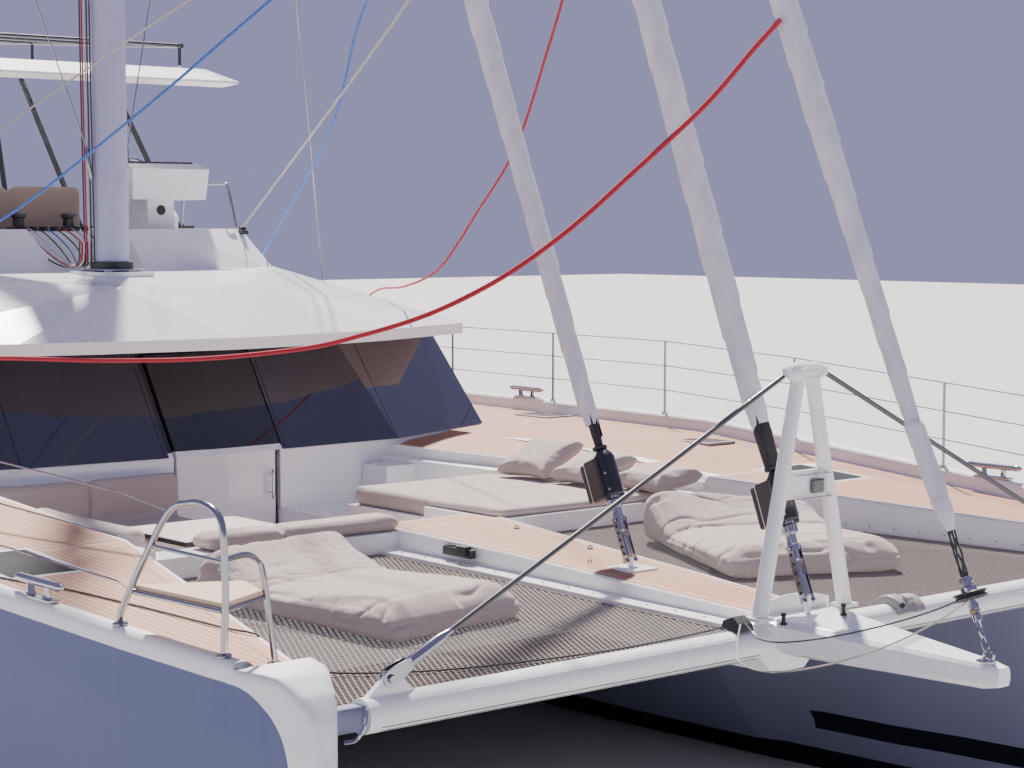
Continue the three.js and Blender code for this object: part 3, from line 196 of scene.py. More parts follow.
def topsides():
    """Blue-grey paint, lighter on the inner sides of the hulls as painted light that lifts their shade, a
    black boot stripe, a dark underwater coat, and white at the deck, steps and nose.
    """
    g = Graph("topsides")
    p = g.place()
    x, y, z = g.split(p)
    normal = g.split(g.add("NewGeometry").outputs["Normal"])
    across = abs(y)
    cloud = g.ramp(g.noise(p, 0.5, 4), 0.3, 0.7)
    stain = g.noise(g.scaled(p, 2.4, 2.4, 0.28), 4.0, 5)
    blue = g.mix(cloud, (0.135, 0.155, 0.285), (0.15, 0.172, 0.31))
    blue = g.mix(g.ramp(stain, 0.6, 0.85, 0, 0.18), blue, (0.34, 0.35, 0.37))
    # painted light: the inner sides of the hulls, which lie in shade, get a lighter blue
    blue = g.mix(across < 3.9, blue, (0.27, 0.285, 0.4))
    deck_edge = g.step(z + g.math("MAXIMUM", x - 4.5, 0.0) * 0.06, 2.572, 0.003)
    decks = (z > 2.2) * g.largest(normal[2] > 0.6, normal[1] * y < -0.2)
    steps = g.inside((x, None, -7.46), (across, 2.705, 4.85))
    bow_inside = g.inside((x, None, 9.66), (across, None, 3.93), (z, 2.02, None))
    under_bridge = g.inside((x, -9.5, 6.3), (across, None, 2.76), (z, 1.3, None))
    round_cap = ((x - 9.65) / 0.41) ** 2.0 + ((z - 1.88) / 0.38) ** 2.0
    nose = g.inside((x, 9.65, None), (z, 1.88, None), (round_cap, 1.0, None))
    white = g.largest(deck_edge, decks, steps, bow_inside, under_bridge, nose, x > 10.06) * (z > 0.0)
    boot = g.step(z, 0.0, 0.004) * g.math("SUBTRACT", 1.0, g.step(z, 0.18, 0.004))
    stripe = g.inside((z, 0.36, 0.52), (across, None, 3.95), (x, 6.9, 9.9))
    window = g.inside((z, 1.52, 1.8), (across, 4.0, None), (x, -6.2, None), (x - z * 1.6, None, 3.6))
    colour = g.mix(white, blue, LIGHT)
    colour = g.mix(g.largest(boot, stripe, window), colour, (0.012, 0.014, 0.02))
    colour = g.mix(z < 0.0, colour, g.mix(cloud, (0.02, 0.035, 0.07), (0.03, 0.05, 0.09)))
    g.set(Base_Color=colour, Roughness=g.ramp(g.noise(p, 18, 3), 0.3, 0.75, 0.38, 0.5))
    g.set(Specular_IOR_Level=0.08, Normal=g.bump(g.noise(p, 6, 2), 0.002, 0.3, g.rounded(0.1)))
    return g.material


def teak(plank=0.05, margin=0.085, seam=0.0034):
    """Planks fore and aft with dark seams, inside a margin board along the edge of each panel."""
    g = Graph("teak")
    p = g.place()
    x, y, _ = g.split(p)
    edge = Value(g, g.add("Attribute", attribute_name="edge").outputs["Fac"])
    inner = edge > margin
    row = y / plank
    index = g.math("FLOOR", row) * inner
    lines = inner * (abs(g.math("FRACT", row) - 0.5) > 0.5 - seam / plank)
    lines = g.largest(lines, abs(edge - margin) < 0.003)
    tone = g.put_named(g.add("TexWhiteNoise", noise_dimensions="1D"), W=index)
    grain = g.noise(g.add("CombineXYZ", x * 1.6, y * 60, index).outputs[0], 2.6, 6, 0.62)
    wood = g.mix(g.ramp(grain, 0.25, 0.8), (0.34, 0.145, 0.08), (0.51, 0.262, 0.158))
    wood = g.mix(g.ramp(tone, 0, 1, 0, 0.34), wood, (0.53, 0.29, 0.19))
    wood = g.mix(g.ramp(g.noise(p, 1.3, 4), 0.45, 0.8, 0, 0.4), wood, (0.48, 0.27, 0.18))
    g.set(Base_Color=g.mix(lines, wood, (0.075, 0.04, 0.03)), Roughness=g.ramp(grain, 0.2, 0.8, 0.52, 0.75))
    g.set(Normal=g.bump(grain * 0.25 - lines, 0.0016, 0.7))
    return g.material


def cloth(name, colour, deep, thread=0.0011, soft=0.25):
    """Woven outdoor fabric: two threads, slubs and a faded tone."""
    g = Graph(name)
    p = g.place()
    x, y, z = g.split(p)
    turns = 2 * math.pi / thread / 2
    weave = g.math("SINE", (x + z * 0.83) * turns) * g.math("SINE", (y + z * 0.57) * turns)
    slub = g.noise(g.scaled(p, 40, 220, 120), 2.0, 4)
    tone = g.mix(g.ramp(weave, -1, 1), deep, colour)
    tone = g.mix(g.ramp(slub, 0.4, 0.75, 0, 0.3), tone, [c * 1.12 for c in colour])
    tone = g.mix(g.ramp(g.noise(p, 1.7, 4), 0.35, 0.75, 0, 0.35), tone, deep)
    g.set(Base_Color=tone, Roughness=0.9, Sheen_Weight=soft, Sheen_Roughness=0.5, Specular_IOR_Level=0.2)
    g.set(Normal=g.bump(weave + slub * 1.2, 0.0005, 0.6))
    return g.material


def sail(name, colour, deep):
    """Firm sailcloth with fine ripstop threads and soft creases, darker in their folds as painted shade."""
    g = Graph(name)
    p = g.place()
    _, y, z = g.split(p)
    cells = [g.math("PINGPONG", value, 0.004) for value in (z + y * 0.6, z - y * 0.8)]
    thread = g.math("MINIMUM", *cells) < 0.0004
    crease = g.noise(g.scaled(p, 3, 3, 1.2), 3.2, 5, 0.6)
    # painted shade: the cloth turns to the deep lilac where the creases dip
    tone = g.mix(g.ramp(crease, 0.3, 0.75), deep, colour)
    tone = g.mix(g.ramp(g.noise(p, 0.9, 5), 0.5, 0.8, 0, 0.22), tone, deep)
    g.set(Base_Color=g.mix(thread * 0.22, tone, deep), Roughness=0.58, Sheen_Weight=0.12)
    g.set(Specular_IOR_Level=0.3, Normal=g.bump(crease + thread * 0.02, 0.02, 0.5))
    return g.material


def metal(name, colour, low, high):
    """Polished metal with fine scratches."""
    g = Graph(name)
    p = g.place()
    scratch = g.noise(g.scaled(p, 160, 160, 160), 1.0, 4)
    g.set(Base_Color=g.clouded(p, 6, 3, *shades(colour, 0.9)), Metallic=1.0)
    g.set(Roughness=g.ramp(scratch, 0.3, 0.75, low, high), Normal=g.bump(scratch, 0.0002, 0.3))
    return g.material


def painted(name, colour, rough, coat, grain, depth, spread):
    """Paint or moulded plastic with a slight texture."""
    g = Graph(name)
    p = g.place()
    fine = g.noise(p, grain, 3)
    g.set(Base_Color=g.clouded(p, 2.2, 4, *shades(colour, 1 - spread, 1 + spread)), Coat_Weight=coat)
    g.set(Roughness=g.ramp(fine, 0.3, 0.75, rough * 0.85, rough * 1.25), Normal=g.bump(fine, depth, 0.5))
    return g.material


def tinted_glass():
    g = Graph("glass")
    haze = g.noise(g.scaled(g.place(), 1, 1, 0.4), 2.2, 4)
    g.set(Base_Color=g.mix(g.ramp(haze, 0.3, 0.75), (0.012, 0.012, 0.02), (0.022, 0.02, 0.03)))
    g.set(Roughness=g.ramp(haze, 0.4, 0.8, 0.03, 0.09), Specular_IOR_Level=0.75)
    g.set(Coat_Weight=1.0, Coat_Roughness=0.02, Coat_Tint=(0.86, 0.84, 1.0))
    return g.material


def door_look():
    """A white door with a dark window in its upper part."""
    g = Graph("door")
    p = g.place()
    pane = g.split(p)[2] > 2.61
    g.set(Base_Color=g.mix(pane, g.clouded(p, 0.9, 4, SHADE, LIGHT), (0.016, 0.015, 0.024)))
    g.set(Roughness=g.ramp(pane, 0, 1, 0.28, 0.05), Coat_Weight=0.5, Coat_Roughness=0.05)
    return g.material


def house():
    """White walls, dark where the band of glass runs over them."""
    g = Graph("house")
    p = g.place()
    dark = g.inside((g.split(p)[2], 2.6, 3.44))
    g.set(Base_Color=g.mix(dark, g.clouded(p, 0.9, 4, SHADE, LIGHT), (0.014, 0.013, 0.018)))
    g.set(Roughness=g.ramp(dark, 0, 1, 0.28, 0.12), Coat_Weight=0.3, Coat_Roughness=0.08)
    return g.material


def hardtop():
    """A white roof on black struts, with dark panels on its rack."""
    g = Graph("hardtop")
    p = g.place()
    x, _, z = g.split(p)
    level = z + (x + 0.3) * 0.075
    cell = g.math("PINGPONG", x + 0.04, 0.08)
    panel = g.mix(cell < 0.003, (0.012, 0.014, 0.028), (0.1, 0.11, 0.14))
    top = g.mix(level > 6.11, g.clouded(p, 0.8, 4, SHADE, LIGHT), panel)
    g.set(Base_Color=g.mix(level < 5.9, top, (0.018, 0.018, 0.022)))
    g.set(Roughness=0.32, Coat_Weight=0.3, Coat_Roughness=0.1)
    return g.material


def hatch_look():
    """A dark pane in a pale frame, by distance from the edges of the two foredeck hatches."""
    g = Graph("hatch")
    p = g.place()
    x, y, _ = g.split(p)
    pane = g.inside((x, 6.255, 6.965), (abs(y), 3.405, 3.855))
    dark = g.clouded(p, 3, 4, (0.018, 0.018, 0.024), (0.04, 0.04, 0.05), 0.3, 0.75)
    g.set(Base_Color=g.mix(pane, (0.62, 0.62, 0.64), dark), Roughness=g.ramp(pane, 0, 1, 0.4, 0.5))
    g.set(Specular_IOR_Level=0.05)
    return g.material


def floor_look():
    g = Graph("floor")
    g.set(Base_Color=g.clouded(g.place(), 0.3, 3, (0.5, 0.5, 0.5), (0.53, 0.53, 0.53)), Roughness=0.85)
    return g.material


def rope_look(name, colour, fleck):
    """Braided rope with fine slanted strands and a fleck of a second colour."""
    g = Graph(name)
    p = g.place()
    x, y, z = g.split(p)
    strand = g.math("SINE", (x + (y + z)) * 520)
    spots = g.noise(g.scaled(p, 60, 60, 60), 3.0, 2)
    tone = g.mix(g.ramp(strand, -1, 1, 0.2, 1), [c * 0.72 for c in colour], colour)
    g.set(Base_Color=g.mix(g.ramp(spots, 0.56, 0.62), tone, fleck), Roughness=0.85, Sheen_Weight=0.2)
    g.set(Normal=g.bump(strand, 0.0012, 0.8))
    return g.material


WHITE = gelcoat()
HULL = topsides()
TEAK = teak()
FABRIC = cloth("fabric", (0.55, 0.462, 0.425), (0.41, 0.345, 0.318))
PILLOW_FABRIC = cloth("pillow_fabric", (0.5, 0.42, 0.4), (0.39, 0.33, 0.315))
TAN = cloth("tan_fabric", (0.42, 0.32, 0.25), (0.31, 0.235, 0.185))
NET = cloth("net", (0.3, 0.255, 0.235), (0.19, 0.16, 0.15), 0.003, 0.1)
# the second sailcloth colour is the lilac of the painted shade in its creases
SAILCLOTH = sail("sailcloth", (0.82, 0.8, 0.84), (0.62, 0.6, 0.68))
STEEL = metal("steel", (0.36, 0.36, 0.4), 0.12, 0.26)
CHROME = metal("chrome", (0.46, 0.45, 0.5), 0.06, 0.16)
BRASS = metal("brass", (0.62, 0.45, 0.2), 0.16, 0.3)
GLASS = tinted_glass()
PAINTS = {  # colour, roughness, coat, scale and depth of the grain, spread of the tone
    "spar": ((0.6, 0.61, 0.68), 0.3, 0.3, 40, 0.0003, 0.05),
    # painted shade: the white mast is coloured the lavender-grey it shows in shade
    "mast_painted_shade": ((0.42, 0.42, 0.6), 0.3, 0.3, 40, 0.0003, 0.05),
    "black": ((0.03, 0.029, 0.032), 0.42, 0.1, 180, 0.0004, 0.3),
    "engine": ((0.2, 0.22, 0.25), 0.45, 0.1, 90, 0.0006, 0.15),
    "table_top": ((0.78, 0.73, 0.68), 0.3, 0.4, 90, 0.0002, 0.04),
    "housing": ((0.011, 0.011, 0.022), 0.34, 0.3, 120, 0.0002, 0.2),
    "motor": ((0.04, 0.032, 0.032), 0.42, 0.1, 150, 0.0004, 0.2),
    "grey_cast": ((0.3, 0.28, 0.29), 0.38, 0.1, 120, 0.0004, 0.15),
    "cream": ((0.62, 0.44, 0.29), 0.45, 0.1, 90, 0.0004, 0.06),
    "trim": ((0.02, 0.02, 0.024), 0.5, 0.0, 90, 0.0003, 0.3),
    "rod": ((0.075, 0.07, 0.08), 0.35, 0.2, 120, 0.0002, 0.2),
    "lamp_glass": ((0.02, 0.035, 0.04), 0.08, 1.0, 60, 0.0001, 0.2),
}
PAINT = {name: painted(name, *row) for name, row in PAINTS.items()}
BLACK, TRIM, GREY = PAINT["black"], PAINT["trim"], PAINT["grey_cast"]
HATCH = hatch_look()
OWN_LOOKS = {
    "front_door": door_look(), "deckhouse": house(), "hardtop": hardtop(), "mast": PAINT["mast_painted_shade"],
    "cockpit_table": PAINT["table_top"], "deck_hatch_port": HATCH, "deck_hatch_starboard": HATCH,
}
ROPE = {
    "red": rope_look("rope_red", (0.52, 0.012, 0.035), (0.3, 0.01, 0.03)),
    "blue": rope_look("rope_blue", (0.012, 0.13, 0.58), (0.1, 0.26, 0.62)),
    "beige": rope_look("rope_beige", (0.52, 0.45, 0.4), (0.3, 0.26, 0.24)),
    "white": rope_look("rope_white", (0.74, 0.72, 0.72), (0.35, 0.36, 0.4)),
    "black": rope_look("rope_black", (0.035, 0.033, 0.04), (0.12, 0.12, 0.14)),
}
SLOTS = {
    "topsides": HULL, "gelcoat": WHITE, "glass": GLASS, "cushion": FABRIC, "sailcloth": SAILCLOTH,
    "net": NET, "steel": STEEL, "alloy": PAINT["spar"], "black": BLACK, "engine": PAINT["engine"],
}
BEVELS = {"gelcoat": 0.012, "topsides": 0.01, "alloy": 0.006, "glass": 0.003, "black": 0.008}


def smooth(obj, angle=35):
    """Smooth shading, with edges sharper than angle kept."""
    bpy.context.view_layer.objects.active = obj
    for other in bpy.context.selected_objects:
        other.select_set(False)
    obj.select_set(True)
    bpy.ops.object.shade_smooth_by_angle(angle=math.radians(angle))
    obj.select_set(False)


def soften(obj, width, segments=2):
    bevel = obj.modifiers.new("bevel", "BEVEL")
    bevel.width = width
    bevel.segments = segments
    bevel.limit_method = "ANGLE"
    bevel.angle_limit = math.radians(32)
    bevel.harden_normals = True


for row in frame["record"]["subparts"]:
    node = nodes[row["node"]]
    node.data.materials.clear()
    node.data.materials.append(OWN_LOOKS.get(row["node"], SLOTS[row["material_slot"]]))
    smooth(node)
    if row["material_slot"] in BEVELS:
        soften(node, BEVELS[row["material_slot"]])

# Sizes and lines of the boat, in metres, as its solids have them
DECK_Z, SHEER_FROM, SHEER_SLOPE = 2.55, 4.5, 0.06
BULWARK = 0.13
DECK_EDGES = [  # x, inner and outer edge of the port side deck
    (-10.25, 2.9, 4.95), (-8.0, 2.7, 5.0), (-5.0, 2.7, 5.0), (-1.0, 2.7, 4.96), (2.2, 2.7, 4.77),
    (4.5, 2.7, 4.58), (6.3, 2.7, 4.43), (7.7, 3.05, 4.3), (8.8, 3.343, 4.19), (9.5, 3.53, 4.1),
    (9.9, 3.65, 4.03), (10.13, 3.74, 3.96),
]
WALK = [  # x, height and half width of the walkway
    (6.29, 2.308, 0.48), (7.5, 2.25, 0.37), (8.5, 2.195, 0.32), (9.3, 2.15, 0.258), (9.64, 2.132, 0.235),
]
LEDGE = 0.17  # beside the walkway, under the nets
BEAM_X, BEAM_Z = 9.75, 2.0
MAST_X, MAST_FOOT, RAKE = 1.34, 4.07, math.radians(0.4)
STAYS = {  # x and z of tack and head
    "genoa": ((9.79, 2.215), (1.48, 23.85)),
    "staysail": ((8.22, 2.265), (1.53, 18.12)),
    "code_zero": ((11.13, 2.11), (1.65, 25.46)),
}
SIDES = ("port", "starboard")
UP, PORT, AHEAD = (0, 0, 1), (0, 1, 0), (1, 0, 0)
GUARD_WIRES = (0.225, 0.46, 0.695)  # heights above the rail


def column(rows, x, index=1):
    """A column of the rows, read between them at x in the first."""
    return float(np.interp(x, [r[0] for r in rows], [r[index] for r in rows]))


def deck_z(x):
    return DECK_Z - SHEER_SLOPE * max(0.0, x - SHEER_FROM)


def inner_deck(x):
    return column(DECK_EDGES, x, 1)


def outer_deck(x):
    return column(DECK_EDGES, x, 2)


def net_z(x):
    return 2.04 + (9.6 - x) * 0.0286


def mast_x(z):
    return MAST_X - math.tan(RAKE) * (z - MAST_FOOT)


def on_stay(name, z):
    (x0, z0), (x1, z1) = STAYS[name]
    return Vector((x0 + (x1 - x0) * (z - z0) / (z1 - z0), 0, z))


# Shapes
def spread(start, stop, step):
    """Even stops from start to stop, about step apart."""
    return np.linspace(start, stop, max(2, int(round(abs(stop - start) / step)) + 1))


def frames(points):
    """A pair of side directions for each point of a line, turned as little as possible."""
    points = [Vector(p) for p in points]
    last = len(points) - 1
    ahead = [(points[min(i + 1, last)] - points[max(i - 1, 0)]).normalized() for i in range(last + 1)]
    side = ahead[0].orthogonal().normalized()
    out = []
    for way in ahead:
        side = (side - way * side.dot(way)).normalized()
        out.append((side, way.cross(side)))
    return out


def turns(count):
    """Even angles round a circle."""
    return [2 * math.pi * k / count for k in range(count)]


def curved(points, step=0.05):
    """A smooth line through the points."""
    points = [Vector(p) for p in points]
    ends = [2 * points[0] - points[1], *points, 2 * points[-1] - points[-2]]
    line = []
    for a, b, c, d in zip(ends, ends[1:], ends[2:], ends[3:]):
        bend, twist = 2 * a - 5 * b + 4 * c - d, 3 * b - a - 3 * c + d
        count = max(2, int((c - b).length / step))
        for t in [i / count for i in range(count)]:
            line.append(0.5 * (2 * b + (c - a) * t + bend * t**2 + twist * t**3))
    return [*line, points[-1]]


def straight(a, b):
    """Both ends and the middle of a line."""
    return [Vector(a), Vector(a).lerp(Vector(b), 0.5), Vector(b)]


BOX_FACES = [(0, 2, 3, 1), (4, 5, 7, 6), (0, 1, 5, 4), (2, 6, 7, 3), (0, 4, 6, 2), (1, 3, 7, 5)]


class Shape:
    """Vertices and faces gathered for one piece."""

    def __init__(self):
        self.verts = []
        self.faces = []

    def add(self, verts, faces):
        base = len(self.verts)
        self.verts.extend(Vector(v) for v in verts)
        self.faces.extend(tuple(base + i for i in face) for face in faces)
        return self

    def rings(self, rings, closed=False):
        """A skin through rings of equal counts, with flat ends or closed on itself."""
        count = len(rings[0])
        faces = []
        for r in range(len(rings) if closed else len(rings) - 1):
            for i in range(count):
                a, b = r * count + i, r * count + (i + 1) % count
                c = (r + 1) % len(rings) * count
                faces.append((a, b, c + (i + 1) % count, c + i))
        if not closed:
            faces.append(tuple(reversed(range(count))))
            faces.append(tuple(range((len(rings) - 1) * count, len(rings) * count)))
        return self.add([p for ring in rings for p in ring], faces)

    def tube(self, points, radius, sides=12):
        """A round tube along a line; radius may be a list."""
        sizes = radius if hasattr(radius, "__len__") else [radius] * len(points)
        rings = []
        for point, (u, v), r in zip(points, frames(points), sizes):
            rings.append([Vector(point) + (u * math.cos(t) + v * math.sin(t)) * r for t in turns(sides)])
        return self.rings(rings)

    def lathe(self, base, axis, stops, sides=24):
        """A body of revolution from (distance along the axis, radius) stops."""
        base, axis = Vector(base), Vector(axis).normalized()
        return self.tube([base + axis * d for d, _ in stops], [r for _, r in stops], sides)

    def box(self, low, high):
        xs, ys, zs = zip(low, high)
        corners = [(x, y, z) for z in zs for y in ys for x in xs]
        return self.add(corners, BOX_FACES)

    def moved(self, matrix):
        self.verts = [matrix @ v for v in self.verts]
        return self

    def mirrored(self):
        other = Shape()
        other.verts = [Vector((v.x, -v.y, v.z)) for v in self.verts]
        other.faces = [tuple(reversed(f)) for f in self.faces]
        return other

    def piece(self, name, look, body="boat", slot="gelcoat", angle=35, bevel=None, segments=2, replaced=()):
        mesh = bpy.data.meshes.new(name)
        mesh.from_pydata(self.verts, [], self.faces)
        mesh.update()
        mesh.materials.append(look)
        mesh.shade_smooth()
        mesh.set_sharp_from_angle(angle=math.radians(angle))
        obj = bpy.data.objects.new(name, mesh)
        scene.collection.objects.link(obj)
        if bevel:
            soften(obj, bevel, segments)
        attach(obj, body)
        if replaced:
            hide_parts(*replaced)
        return obj


def both_sides(name, shape, look, replaced=None, **settings):
    """A port piece and its mirror image, each in place of the node of its side."""
    pieces = []
    for side, half in zip(SIDES, (shape, shape.mirrored())):
        piece = half.piece(f"{name}_{side}", look, **settings)
        if replaced:
            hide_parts(f"{replaced}_{side}")
        pieces.append(piece)
    return pieces


# Nets: two sets of straight webbing that cross in diamonds, laced to a rope round the edge
def net_outline():
    inner = [(x, half + LEDGE + 0.012) for x, _, half in WALK]
    inner[0] = (6.302, inner[0][1])
    outer = [(x, inner_deck(x) - 0.012) for x in (9.65, 9.5, 8.8, 7.7, 6.3)]
    return [*inner[:-1], (9.65, inner[-1][1]), *outer]


def crossings(outline, origin, way):
    """Where a line enters and leaves an outline, as distances along it."""
    hits = []
    across = Vector((-way.y, way.x))
    for (ax, ay), (bx, by) in zip(outline, outline[1:] + outline[:1]):
        a, b = Vector((ax, ay)) - origin, Vector((bx, by)) - origin
        da, db = a.dot(across), b.dot(across)
        if (da < 0) != (db < 0):
            hits.append((a + (b - a) * (da / (da - db))).dot(way))
    hits.sort()
    return list(zip(hits[::2], hits[1::2]))


def net(pitch=0.034, width=0.0085, thick=0.003, slant=math.radians(27)):
    outline = net_outline()
    shape = Shape()
    middle = Vector((7.95, 2.0))
    for sign in (1, -1):
        way = Vector((math.cos(slant), sign * math.sin(slant)))
        across = Vector((-way.y, way.x))
        side = across * (width / 2)
        for k in range(-90, 91):
            origin = middle + across * (k * pitch)
            for start, stop in crossings(outline, origin, way):
                if stop - start < 0.02:
                    continue
                ring = []
                for p in (origin + way * start, origin + way * stop):
                    low = net_z(p.x) + sign * thick * 0.5 - thick / 2
                    high = low + thick
                    (x0, y0), (x1, y1) = p + side, p - side
                    ring.append([(x0, y0, low), (x0, y0, high), (x1, y1, high), (x1, y1, low)])
                shape.rings(ring)
    edge = [(x, y, net_z(x)) for x, y in outline]
    return shape.tube(edge + edge[:1], 0.009, 8)


both_sides("net", net(), NET, slot="net", replaced="trampoline")


# Teak laid on the decks
def surface_of(*names):
    """The height of the highest of these nodes under a point."""
    trees = []
    for mesh in [nodes[name].data for name in names]:
        faces = [p.vertices for p in mesh.polygons]
        trees.append(BVHTree.FromPolygons([v.co for v in mesh.vertices], faces))

    def height(x, y):
        found = [tree.ray_cast(Vector((x, y, 3.2)), Vector((0, 0, -1)))[0] for tree in trees]
        return max(hit.z for hit in found if hit)

    return height


def closed_sheet(rows, below):
    """Faces of a grid of rows and of the copy below it, joined round the rim. Returns a shape."""
    columns, last = len(rows[0]), len(rows) - 1
    starts = [r * columns + i for r in range(last) for i in range(columns - 1)]
    faces = [(a, a + columns, a + columns + 1, a + 1) for a in starts]
    base = len(rows) * columns
    rim = [r * columns for r in range(last + 1)] + [last * columns + i for i in range(1, columns)]
    rim += [r * columns + columns - 1 for r in range(last - 1, -1, -1)] + list(range(columns - 2, 0, -1))
    faces += [tuple(base + i for i in reversed(f)) for f in faces]
    faces += [(b, a, base + a, base + b) for a, b in zip(rim, rim[1:] + rim[:1])]
    return Shape().add([p for row in rows for p in row] + [p for row in below for p in row], faces)


def planking(name, outline_of, stops, height, mirror=True, lift=0.004, columns=9):
    """A thin teak panel whose sides at x come from outline_of and whose height comes from height(x, y)."""
    top, bottom, edge = [], [], []
    for x in stops:
        low, high = outline_of(x)
        places = np.linspace(low, high, columns)
        row = [Vector((x, y, height(x, y))) for y in places]
        top.append([p + Vector((0, 0, lift)) for p in row])
        bottom.append([p - Vector((0, 0, 0.004)) for p in row])
        from_end = min(x - stops[0], stops[-1] - x)
        edge += [max(0.0, min(y - low, high - y, from_end)) for y in places]
    shape = closed_sheet(top, bottom)
    for piece in both_sides(name, shape, TEAK) if mirror else [shape.piece(name, TEAK)]:
        distance = piece.data.attributes.new("edge", "FLOAT", "POINT")
        distance.data.foreach_set("value", edge + edge)


RIM = [(2.8, 1.654), (3.67, 1.9), (6.29, 2.64)]  # x, y of the inner rim of the port side deck
FRONT_WALLS = [  # angle from +X and distance at the deck, and how far it leans back in each metre of height
    (3.4, 3.27, 0.66), (22.8, 3.639, 0.72),
]


def beside_house(x):
    """Where the port deck beside the forward cockpit begins."""
    angle, distance = math.radians(FRONT_WALLS[1][0]), FRONT_WALLS[1][1] + 0.05
    return max(column(RIM, x) + 0.035, (distance - x * math.cos(angle)) / math.sin(angle))


def beside_rail(inner):
    """The outline of a side deck from inner(x) to the bulwark."""
    return lambda x: (inner(x), outer_deck(x) - 0.132)


def level(height):
    return lambda x, y: height


def along_deck(x, y):
    return deck_z(x)


deck_height = surface_of("bridgedeck", "hull_port")
planking("side_deck_teak", beside_rail(lambda x: inner_deck(x) + 0.03), spread(6.32, 9.45, 0.1), along_deck)
planking("side_deck_teak_aft", beside_rail(lambda x: 2.735), spread(-7.3, 2.83, 0.3), along_deck)
planking("cockpit_side_teak", beside_rail(beside_house), spread(2.86, 6.285, 0.1), deck_height, False)
planking(
    "walkway_teak", lambda x: (0.03 - column(WALK, x, 2), column(WALK, x, 2) - 0.03), spread(6.305, 9.6, 0.1),
    lambda x, y: column(WALK, x), False)
planking(
    "dinette_side_teak", lambda x: (0.132 - outer_deck(x), -2.735), spread(2.86, 6.29, 0.3), along_deck,
    False)
planking("cockpit_step_teak", lambda x: (-0.46, 0.46), spread(5.93, 6.275, 0.1), level(2.29), False)
planking("cockpit_floor_teak", lambda x: (-2.02, 0.46), spread(3.93, 5.43, 0.1), level(1.6), False)
planking("aft_cockpit_teak", lambda x: (-1.6, 1.6), spread(-8.15, -4.75, 0.2), level(1.6), False)


# Furled sails, wound round their stays
def furled(name, start, stop, size, pitch, sag, sides=36):
    """size is (distance along from the foot, radius) stops; the leech winds round once in each pitch."""
    foot, head = on_stay(name, start), on_stay(name, stop)
    axis = (head - foot).normalized()
    length = (head - foot).length
    u = Vector(PORT)
    v = axis.cross(u)
    rings = []
    for d in [*spread(0, 7, 0.04), *spread(7.25, length, 0.25)]:
        radius = column(size, d)
        middle = foot + axis * d - Vector((sag[0] + sag[1] * math.sin(math.pi * d / length), 0, 0))
        slack = max(0.0, 1 - d / 1.2)
        ring = []
        for k, angle in enumerate(turns(sides)):
            part = (k / sides - d / pitch) % 1.0
            layer = 0.94 + 0.1 * part + 0.03 * math.exp(-((part - 0.97) / 0.03) ** 2)
            place = Vector((math.cos(angle) * 2, math.sin(angle) * 2, d * 3.2))
            crease = 0.022 * noise.noise(place * 2.1) + 0.07 * slack * noise.noise(place)
            ring.append(middle + (u * math.cos(angle) + v * math.sin(angle)) * radius * (layer + crease))
        rings.append(ring)
    shape = Shape().rings(rings)
    shape.piece(f"{name}_sail", SAILCLOTH, name, "sailcloth", 50, replaced=[f"{name}_furled"])


# Start and end height, (distance from the foot, radius) stops, pitch of the leech, offset aft
furled("genoa", 3.22, 22.3, [
    (0, 0.05), (0.1, 0.066), (0.4, 0.074), (0.9, 0.086), (6, 0.092), (18, 0.07), (18.9, 0.03),
], 0.46, (0.01, 0))
furled("staysail", 3.14, 16.9, [
    (0, 0.045), (0.1, 0.058), (0.8, 0.068), (2, 0.072), (3, 0.084), (12.5, 0.06), (13.6, 0.03),
], 0.4, (0.015, 0))
furled("code_zero", 3.35, 23.3, [
    (0, 0.044), (0.3, 0.054), (1.2, 0.064), (1.9, 0.08), (6, 0.086), (19, 0.05), (20.3, 0.02),
], 0.36, (0.045, 0.06))


def stay_place(name, z):
    """A place on a stay, its Z up the stay and its X ahead."""
    (x0, z0), (x1, z1) = STAYS[name]
    up = Vector((x1 - x0, 0, z1 - z0)).normalized()
    turn = Matrix((Vector((up.z, 0, -up.x)), Vector(PORT), up)).transposed()
    return Matrix.Translation(on_stay(name, z)) @ turn.to_4x4()


# Bodies of revolution, as (distance along the axis, radius) stops
HOUSING = [
    (-0.15, 0.05), (-0.149, 0.066), (-0.142, 0.072), (0.112, 0.072), (0.132, 0.064), (0.15, 0.05),
    (0.17, 0.034),
]
# a dark dot of painted shade for each hole in the toggle's plates
HOLE_DOT = [(-0.002, 0.011), (0.003, 0.011), (0.0035, 0.006)]
BOLT_HEAD = [(-0.01, 0.01), (0.008, 0.01), (0.012, 0.006)]
NECK = [
    (-0.335, 0.02), (-0.334, 0.036), (-0.3, 0.04), (-0.29, 0.034), (-0.235, 0.034), (-0.225, 0.052),
    (-0.18, 0.052), (-0.17, 0.044), (-0.15, 0.044), (-0.149, 0.02),
]
CLEVIS_PIN = [
    (-0.055, 0.016), (-0.046, 0.018), (-0.045, 0.011), (0.045, 0.011), (0.046, 0.018), (0.058, 0.016),
]
DRUM = [
    (0, 0.03), (0.001, 0.094), (0.006, 0.1), (0.012, 0.097), (0.016, 0.086), (0.026, 0.086), (0.03, 0.097),
    (0.036, 0.1), (0.041, 0.094), (0.042, 0.03),
]
SWIVEL = [(0.044, 0.01), (0.045, 0.048), (0.066, 0.05), (0.076, 0.03), (0.13, 0.026), (0.14, 0.01)]
SWIVEL_PIN = [
    (-0.045, 0.014), (-0.034, 0.014), (-0.033, 0.009), (0.033, 0.009), (0.034, 0.014), (0.045, 0.014),
]
SLEEVE = [
    (0.4, 0.018), (0.42, 0.03), (0.5, 0.055), (0.58, 0.06), (0.9, 0.058), (1.04, 0.06), (1.09, 0.044),
    (1.13, 0.05), (1.17, 0.046),
]
